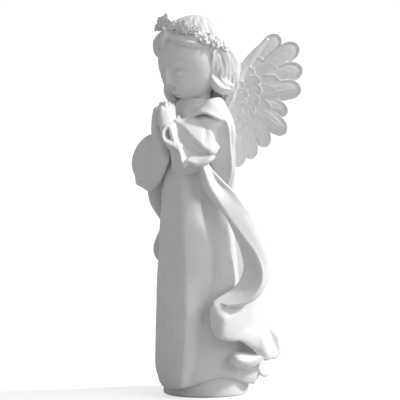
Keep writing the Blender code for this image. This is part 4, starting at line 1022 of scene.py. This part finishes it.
def featherSkin(root, tip, half, height, side, rows=60, sides=48):
    # A feather is a blunt leaf, domed across, with a raised quill, barbs at a slant and a lifted rim.
    root, tip = np.array(root, float), np.array(tip, float)
    length = np.linalg.norm(tip - root)
    along, across = (tip - root) / length, np.array([-(tip - root)[1], (tip - root)[0]]) / length
    share = 1 - (1 - np.linspace(0.02, 0.9995, rows)[:, None]) ** 1.4
    turn = around(sides)[None, :]
    blunt = min(0.45, 1.15 * half / length)
    tipRound = np.sqrt(np.clip(1 - (np.clip(share - 1 + blunt, 0, 1) / blunt) ** 2, 0, 1))
    wide = half * tipRound * (0.78 + 0.22 * np.clip(share / 0.6, 0, 1))
    run = -8 + (length + 8) * share
    sideWay = wide * np.cos(turn)
    edge = np.abs(sideWay) / np.maximum(wide, 0.1)
    top = ease(np.sin(turn) * 2)
    dome = 1.6 * (1 - (sideWay / half) ** 2)
    rim = np.sqrt((sideWay / half) ** 2 + (np.clip(share - 1 + blunt, 0, 1) / blunt) ** 2)
    dome = dome + 1.5 * ridge(rim - 0.93, 0.10) * ease((share - 0.5) / 0.3)
    dome = dome - 1.0 * ridge(rim - 0.72, 0.16) * ease((share - 0.4) / 0.3)
    out = height * (0.75 + 0.25 * share) + dome + 1.8 * np.sin(turn) * (0.3 + 0.7 * wide / half)
    out = out + 0.8 * ridge(sideWay, 1.2) * top * ease((0.9 - share) / 0.2) + 0.12 * sideWay
    barbs = np.cos(fullTurn * (np.abs(sideWay) / 4.6 - run / 26))
    barbs = barbs + 0.5 * np.cos(fullTurn * (np.abs(sideWay) / 2.9 - run / 13))
    out = out + 0.30 * barbs * top * ease(edge / 0.25) * ease((1.15 - rim) / 0.4)
    curl = 0.06 * length * share**2
    right = root[0] + along[0] * run + across[0] * (sideWay - curl)
    up = root[1] + along[1] * run + across[1] * (sideWay - curl)
    return wingPoint(right, up, out, side)


def wingSkins(side):
    # Three rows of feathers, the shorter ones nearer; a blade behind the long row; the wing's arm.
    shells = []
    for name, height in (("long", 0), ("small", 4), ("tiny", 7)):
        for n, (root, tip, half) in enumerate(wing[name]):
            shells.append(featherSkin(root, tip, half, height + 0.9 * (n % 2), side))
            if name == "long":
                inner = (np.array(wing["root"]) + root) / 2
                shells.append(featherSkin(inner, (np.array(root) + tip) / 2, half, 0.5, side, 40, 36))
    arm = np.array(wing["arm"], float)
    path = wingPoint(arm[:, 0], arm[:, 1], 3.0, side)
    shells.append(tube(path, arm[:, 2], arm[:, 2] * 0.8, (0, 0, 1), 60, 40))
    return shells


def plinthSkin():
    # A low oval foot, rounded where it meets the floor; in metres.
    edge = plinth["edge"]
    height = plinth["show"] + plinth["rise"]
    profile = [(-edge, 0), (-edge * 0.3, edge * 0.3), (0, edge), (0, height)]
    rings = []
    for inset, up in profile:
        angle = around(96)
        x = (plinth["halfWidth"] + inset) * np.sin(angle)
        y = -(plinth["halfDepth"] + inset) * np.cos(angle)
        rings.append(np.stack([x, y + plinth["back"], 0 * angle + up], axis=-1))
    return np.array(rings)


def gownSkins():
    # The plinth, brought to the figure's millimetres and height, belongs to the gown.
    return [gownSkin(), trainSkin(), plinthSkin() * 1000 - np.array([0, 0, plinth["show"] * 1000])]


def cloakSkins():
    # All the cloth over the gown, with the arms and hands.
    skins = [sashSkin(), farSashSkin(), capeSkin(), shawlSkin(), collarSkin(), farSleeveSkin()]
    skins += [upperArmSkin(1, arms["nearElbow"]), upperArmSkin(-1, arms["farElbow"])]
    return skins + ruffleSkins() + nearSleeveSkins() + handSkins(1) + handSkins(-1)


def headSkins():
    # Neck, face and hair.
    skins = [neckSkin(), faceSkin(), hairCapSkin(), hairBackSkin()]
    return skins + [lockSkin(path, radii) for path, radii in hair["locks"]]


# Casting: the skins of each part overlap, so they are fused into one closed surface, eased as wet
# plaster eases in a mould, and thinned where it is flat.
casting = {
    "easing": 0.5,
    "easingPasses": 2,
    "parts": {  # cell in metres, the finest carving that the mould keeps, and most triangles
        "angelGown": (0.0015, 130000),
        "angelCloak": (0.0010, 190000),
        "angelHead": (0.0008, 190000),
        "angelWreath": (0.0007, 110000),
        "angelWings": (0.0010, 190000),
    },
}


# Each skin is rings of points, joined ring to ring and closed with a pole at each end.
def meshOfSkins(name, skins):
    points, faces, start = [], [], 0
    for skin in skins:
        rows, count = skin.shape[:2]
        flat = np.concatenate([skin.reshape(-1, 3), skin[:1].mean(1), skin[-1:].mean(1)])
        ring, pole = np.arange(count), rows * count
        first = (np.arange(rows - 1)[:, None] * count + ring).ravel()
        second = (np.arange(rows - 1)[:, None] * count + np.roll(ring, -1)).ravel()
        last = ring + (rows - 1) * count
        sides = np.stack([first, second, second + count, first, second + count, first + count],
            axis=1).reshape(-1, 3)
        low = np.stack([ring, np.full(count, pole), np.roll(ring, -1)], axis=1)
        high = np.stack([last, np.roll(last, -1), np.full(count, pole + 1)], axis=1)
        triangles = np.concatenate([sides, low, high])
        a, b, c = (flat[triangles[:, n]] for n in range(3))
        if np.einsum("ij,ij->i", a, np.cross(b, c)).sum() < 0:  # inside out
            triangles = triangles[:, ::-1]
        points.append(flat)
        faces.append(triangles + start)
        start += len(flat)
    points, faces = np.concatenate(points), np.concatenate(faces)
    mesh = bpy.data.meshes.new(name)
    mesh.vertices.add(len(points))
    mesh.vertices.foreach_set("co", points.ravel().astype(np.float32))
    mesh.loops.add(faces.size)
    mesh.loops.foreach_set("vertex_index", faces.ravel().astype(np.int32))
    mesh.polygons.add(len(faces))
    mesh.polygons.foreach_set("loop_start", np.arange(0, faces.size, 3, dtype=np.int32))
    mesh.update(calc_edges=True)
    piece = bpy.data.objects.new(name, mesh)
    bpy.context.scene.collection.objects.link(piece)
    return piece


# The piece keeps the mesh that its modifiers made.
def applied(piece):
    bpy.context.view_layer.update()
    mesh = bpy.data.meshes.new_from_object(piece.evaluated_get(bpy.context.evaluated_depsgraph_get()))
    piece.modifiers.clear()
    piece.data = mesh


# A sealed hollow between two skins has a skin of its own, so only the outermost ones are kept.
def outerSkins(piece, count):
    name = piece.name
    bpy.ops.object.select_all(action="DESELECT")
    piece.select_set(True)
    bpy.context.view_layer.objects.active = piece
    bpy.ops.mesh.separate(type="LOOSE")
    skins = sorted(bpy.context.selected_objects, key=lambda skin: len(skin.data.vertices))
    for skin in skins[:-count]:
        bpy.data.objects.remove(skin, do_unlink=True)
    kept = skins[-1]
    if count > 1:
        bpy.context.view_layer.objects.active = kept
        bpy.ops.object.join()
    kept.name = name
    return kept


# Skins in the figure's millimetres become one piece of the scene, in this many closed bodies.
def cast(name, skins, finish, bodies=1):
    cell, most = casting["parts"][name]
    piece = meshOfSkins(name, [skin * 0.001 + np.array([0, 0, plinth["show"]]) for skin in skins])
    mould = piece.modifiers.new("mould", "REMESH")
    mould.mode = "VOXEL"
    mould.voxel_size = cell * 1
    applied(piece)
    piece = outerSkins(piece, bodies)
    easing = piece.modifiers.new("easing", "SMOOTH")
    easing.factor = casting["easing"]
    easing.iterations = casting["easingPasses"]
    thinning = piece.modifiers.new("thinning", "DECIMATE")
    thinning.ratio = min(1, most / (2 * len(piece.data.polygons)))
    applied(piece)
    piece.data.polygons.foreach_set("use_smooth", np.ones(len(piece.data.polygons), dtype=bool))
    piece.data.materials.clear()
    piece.data.materials.append(finish)
    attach(piece, "root")
    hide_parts("angel")
    print(name, "cast,", len(piece.data.polygons), "triangles")
    return piece


# Plaster: chalky and matt, with grain, pinholes from trapped air and patches of dust; the hollows are
# greyed with painted shade.
# Scales are repeats to the metre. Cloth was brushed downwards while wet, the rest was carved.
plasterLook = {
    "lightTone": (0.805, 0.803, 0.795),
    "darkTone": (0.560, 0.558, 0.550),
    "patchScale": 16,
    "patchShare": 0.30,
    # how much painted shade darkens the hollows
    "dustShare": 0.55,
    "pitTone": 0.38,
    "creviceFrom": 0.500,  # pointiness of a flat face, then of a deep hollow, between which the painted shade grows
    "creviceTo": 0.43,
    "grainScale": 820,
    "swellScale": 75,
    "pitScale": 310,
    "smoothRoughness": 0.56,
    "dustyRoughness": 0.78,
    "bumpReach": 0.00045,
    "bumpStrength": 0.55,
    "brushed": {"pitShare": 0.075, "streakAmount": 0.85, "streakStretch": (210, 210, 11)},
    "carved": {"pitShare": 0.03, "streakAmount": 0.20, "streakStretch": (120, 120, 40)},
}


def nodeGroup(name, inputs, outputs):
    group = bpy.data.node_groups.new(name, "ShaderNodeTree")
    for label, kind in inputs:
        group.interface.new_socket(label, in_out="INPUT", socket_type="NodeSocket" + kind)
    for label, kind in outputs:
        group.interface.new_socket(label, in_out="OUTPUT", socket_type="NodeSocket" + kind)
    return group, group.nodes.new("NodeGroupInput"), group.nodes.new("NodeGroupOutput")


# Each value of the dictionary is a fixed number, or the output that feeds that input.
def node(tree, kind, inputs=None, **settings):
    made = tree.nodes.new("ShaderNode" + kind)
    for key, value in settings.items():
        setattr(made, key, value)
    for key, value in (inputs or {}).items():
        if isinstance(value, bpy.types.NodeSocket):
            tree.links.new(value, made.inputs[key])
        else:
            made.inputs[key].default_value = value
    return made


def mathOf(tree, operation, first, second):
    return node(tree, "Math", {0: first, 1: second}, operation=operation).outputs[0]


# Height = grain / 4 + swell + streaks * amount + 1, less a rounded pit in a few cells of a Voronoi pattern.
def castSurfaceGroup():
    group, given, out = nodeGroup(
        "castSurface",
        (("Vector", "Vector"), ("Grain Scale", "Float"), ("Swell Scale", "Float"), ("Pit Scale", "Float"),
         ("Pit Share", "Float"), ("Streak Stretch", "Vector"), ("Streak Amount", "Float")),
        (("Height", "Float"), ("Pits", "Float"), ("Streaks", "Float")),
    )
    place = given.outputs["Vector"]
    grain = node(group, "TexNoise",
        {"Vector": place, "Scale": given.outputs["Grain Scale"], "Detail": 3.0})
    swell = node(group, "TexNoise",
        {"Vector": place, "Scale": given.outputs["Swell Scale"], "Detail": 1.5})
    cells = node(group, "TexVoronoi", {"Vector": place, "Scale": given.outputs["Pit Scale"]})
    shade = node(group, "SeparateColor", {0: cells.outputs["Color"]}).outputs[0]
    chosen = mathOf(group, "LESS_THAN", shade, given.outputs["Pit Share"])
    reach = {"From Min": 0.08, "From Max": 0.42, "To Min": 1.0, "To Max": 0.0}
    bowl = node(group, "MapRange", {"Value": cells.outputs["Distance"], **reach},
        interpolation_type="SMOOTHSTEP")
    pits = mathOf(group, "MULTIPLY", chosen, bowl.outputs[0])
    stretched = node(group, "VectorMath", {0: place, 1: given.outputs["Streak Stretch"]},
        operation="MULTIPLY")
    streaks = node(group, "TexNoise", {"Vector": stretched.outputs[0], "Scale": 1.0, "Detail": 2.0})
    brushed = mathOf(group, "MULTIPLY", streaks.outputs["Fac"], given.outputs["Streak Amount"])
    fine = mathOf(group, "MULTIPLY", grain.outputs["Fac"], 0.25)
    height = mathOf(group, "ADD", mathOf(group, "ADD", fine, swell.outputs["Fac"]), brushed)
    group.links.new(mathOf(group, "SUBTRACT", height, pits), out.inputs["Height"])
    group.links.new(pits, out.inputs["Pits"])
    group.links.new(brushed, out.inputs["Streaks"])
    return group


# Dust and shade = patches * share + painted shade in the hollows * share + pits * share + a little of the
# streaks; the tone runs with it.
def dustAndShadeToneGroup():
    group, given, out = nodeGroup(
        "settledTone",
        (("Vector", "Vector"), ("Patch Scale", "Float"), ("Patch Share", "Float"), ("Crevice", "Float"),
         ("Dust Share", "Float"), ("Pits", "Float"), ("Pit Tone", "Float"), ("Streaks", "Float"),
         ("Light Tone", "Color"), ("Dark Tone", "Color")),
        (("Color", "Color"), ("Dust", "Float")),
    )
    cloudy = {"Vector": given.outputs["Vector"], "Scale": given.outputs["Patch Scale"]}
    patches = node(group, "TexNoise", {**cloudy, "Detail": 5.0, "Roughness": 0.62})
    spread = node(group, "MapRange",
        {"Value": patches.outputs["Fac"], "From Min": 0.42, "From Max": 0.75})
    patch = mathOf(group, "MULTIPLY", spread.outputs[0], given.outputs["Patch Share"])
    # Painted shade: the hollows are darkened in colour.
    shadeInHollows = mathOf(group, "MULTIPLY", given.outputs["Crevice"], given.outputs["Dust Share"])
    pit = mathOf(group, "MULTIPLY", given.outputs["Pits"], given.outputs["Pit Tone"])
    streak = mathOf(group, "MULTIPLY", given.outputs["Streaks"], 0.12)
    dustAndShade = mathOf(group, "ADD", mathOf(group, "ADD", patch, shadeInHollows), mathOf(group, "ADD", pit, streak))
    kept = node(group, "Clamp", {"Value": dustAndShade}).outputs[0]
    tone = node(group, "Mix", {0: kept, 6: given.outputs["Light Tone"], 7: given.outputs["Dark Tone"]},
                data_type="RGBA")
    group.links.new(tone.outputs[2], out.inputs["Color"])
    group.links.new(kept, out.inputs["Dust"])
    return group


# Each socket of the two groups takes the value that the look names after it, such as "Pit Scale" pitScale.
def plaster(finish, surfaceGroup, toneGroup):
    look = {**plasterLook, **plasterLook[finish]}
    made = bpy.data.materials.new(finish + "Plaster")
    made.use_nodes = True
    tree = made.node_tree
    shader = tree.nodes["Principled BSDF"]
    place = node(tree, "TexCoord").outputs["Object"]
    surface = node(tree, "Group", node_tree=surfaceGroup)
    tone = node(tree, "Group", node_tree=toneGroup)
    for group in (surface, tone):
        tree.links.new(place, group.inputs["Vector"])
        for socket in group.inputs:
            words = socket.name.split()
            key = words[0].lower() + "".join(words[1:])
            if key in look:
                value = look[key]
                socket.default_value = (*value, 1) if socket.type == "RGBA" else value
    # Painted shade: pointiness finds the hollows, which are then darkened in colour.
    point = node(tree, "NewGeometry").outputs["Pointiness"]
    creviceShade = node(tree, "MapRange",
        {"Value": point, "From Min": look["creviceFrom"], "From Max": look["creviceTo"]})
    tree.links.new(creviceShade.outputs[0], tone.inputs["Crevice"])
    tree.links.new(surface.outputs["Pits"], tone.inputs["Pits"])
    tree.links.new(surface.outputs["Streaks"], tone.inputs["Streaks"])
    tree.links.new(tone.outputs["Color"], shader.inputs["Base Color"])
    worn = {"To Min": look["smoothRoughness"], "To Max": look["dustyRoughness"]}
    rough = node(tree, "MapRange", {"Value": tone.outputs["Dust"], **worn})
    tree.links.new(rough.outputs[0], shader.inputs["Roughness"])
    relief = {"Height": surface.outputs["Height"], "Distance": look["bumpReach"]}
    bump = node(tree, "Bump", {**relief, "Strength": look["bumpStrength"]})
    tree.links.new(bump.outputs[0], shader.inputs["Normal"])
    return made


castSurface, settledTone = castSurfaceGroup(), dustAndShadeToneGroup()
brushedPlaster = plaster("brushed", castSurface, settledTone)
carvedPlaster = plaster("carved", castSurface, settledTone)
cast("angelGown", gownSkins(), brushedPlaster)
cast("angelCloak", cloakSkins(), brushedPlaster)
cast("angelHead", headSkins(), carvedPlaster)
cast("angelWreath", wreathSkins(), carvedPlaster)
cast("angelWings", wingSkins(1) + wingSkins(-1), carvedPlaster, 2)

# Studio
studio = {
    "viewAngle": 45,  # degrees from the figure's front towards its left
    "viewDistance": 2.3,
    "frameHeight": 0.640,  # what the picture takes in at the figure
    "aimHeight": 0.309,
    "fill": 0.40,
    "backdrop": 1.1,
    "floorReach": 0.7,
    "floorTone": (0.48, 0.48, 0.48, 1),  # as the figure sees it; the camera sees it paler
    "floorGlow": 0.55,
    # Suns: strength, width in degrees, and where from: to the camera's right, away from it, up
    "key": {"power": 2.85, "width": 6, "from": (0.85, 0.10, 0.62)},
    "side": {"power": 0.70, "width": 50, "from": (0.70, -0.40, 0.42)},
}


# The camera looks level at the figure; the lens takes in the frame's height at that distance.
def placeCamera():
    angle = math.radians(studio["viewAngle"])
    lens = bpy.data.cameras.new("camera")
    lens.sensor_width = 36
    lens.lens = 36 * studio["viewDistance"] / studio["frameHeight"]
    camera = bpy.data.objects.new("camera", lens)
    bpy.context.scene.collection.objects.link(camera)
    reach = studio["viewDistance"]
    camera.location = (math.sin(angle) * reach, -math.cos(angle) * reach, studio["aimHeight"])
    camera.rotation_euler = (math.pi / 2, 0, angle)
    bpy.context.scene.camera = camera


# The sky lights the figure softly all round; what the camera sees of it is the white backdrop.
def placeLights():
    world = bpy.data.worlds.new("studio")
    bpy.context.scene.world = world
    world.use_nodes = True
    tree = world.node_tree
    background = tree.nodes["Background"]
    background.inputs["Color"].default_value = (1, 1, 1, 1)
    background.inputs["Strength"].default_value = studio["fill"]
    seenSky = tree.nodes.new("ShaderNodeBackground")
    seenSky.inputs["Color"].default_value = (1, 1, 1, 1)
    seenSky.inputs["Strength"].default_value = studio["backdrop"]
    rays = tree.nodes.new("ShaderNodeLightPath")
    mix = tree.nodes.new("ShaderNodeMixShader")
    tree.links.new(rays.outputs["Is Camera Ray"], mix.inputs[0])
    tree.links.new(background.outputs[0], mix.inputs[1])
    tree.links.new(seenSky.outputs[0], mix.inputs[2])
    tree.links.new(mix.outputs[0], tree.nodes["World Output"].inputs["Surface"])
    for name in ("key", "side"):
        placeSun(name, studio[name])


# A sun shines from a direction given as the camera sees it, turned to the scene's east and north.
def placeSun(name, light):
    sun = bpy.data.lights.new(name, "SUN")
    sun.energy = light["power"]
    sun.angle = math.radians(light["width"])
    lamp = bpy.data.objects.new(name, sun)
    bpy.context.scene.collection.objects.link(lamp)
    angle = math.radians(studio["viewAngle"])
    right, back, up = light["from"]
    east = right * math.cos(angle) - back * math.sin(angle)
    north = right * math.sin(angle) + back * math.cos(angle)
    lamp.rotation_euler = Vector((east, north, up)).to_track_quat("Z", "Y").to_euler()


# A round pale board under the figure.
def placeFloor():
    mesh = bpy.data.meshes.new("floor")
    turn = around(96)
    rim = np.stack([np.sin(turn), -np.cos(turn), 0 * turn], axis=-1) * studio["floorReach"]
    mesh.from_pydata(rim.tolist(), [], [tuple(range(len(turn)))])
    floor = bpy.data.objects.new("floor", mesh)
    bpy.context.scene.collection.objects.link(floor)
    made = bpy.data.materials.new("paleFloor")
    made.use_nodes = True
    shader = made.node_tree.nodes["Principled BSDF"]
    rays = node(made.node_tree, "LightPath").outputs["Is Camera Ray"]
    tone = node(made.node_tree, "Mix", {0: rays, 6: studio["floorTone"], 7: (0.8, 0.8, 0.8, 1)},
        data_type="RGBA")
    made.node_tree.links.new(tone.outputs[2], shader.inputs["Base Color"])
    shader.inputs["Emission Color"].default_value = (1, 1, 1, 1)
    glow = mathOf(made.node_tree, "MULTIPLY", rays, studio["floorGlow"])
    made.node_tree.links.new(glow, shader.inputs["Emission Strength"])
    shader.inputs["Roughness"].default_value = 0.8
    mesh.materials.append(made)


placeCamera()
placeLights()
placeFloor()
bpy.context.scene.view_settings.view_transform = "Standard"
print("studio placed")
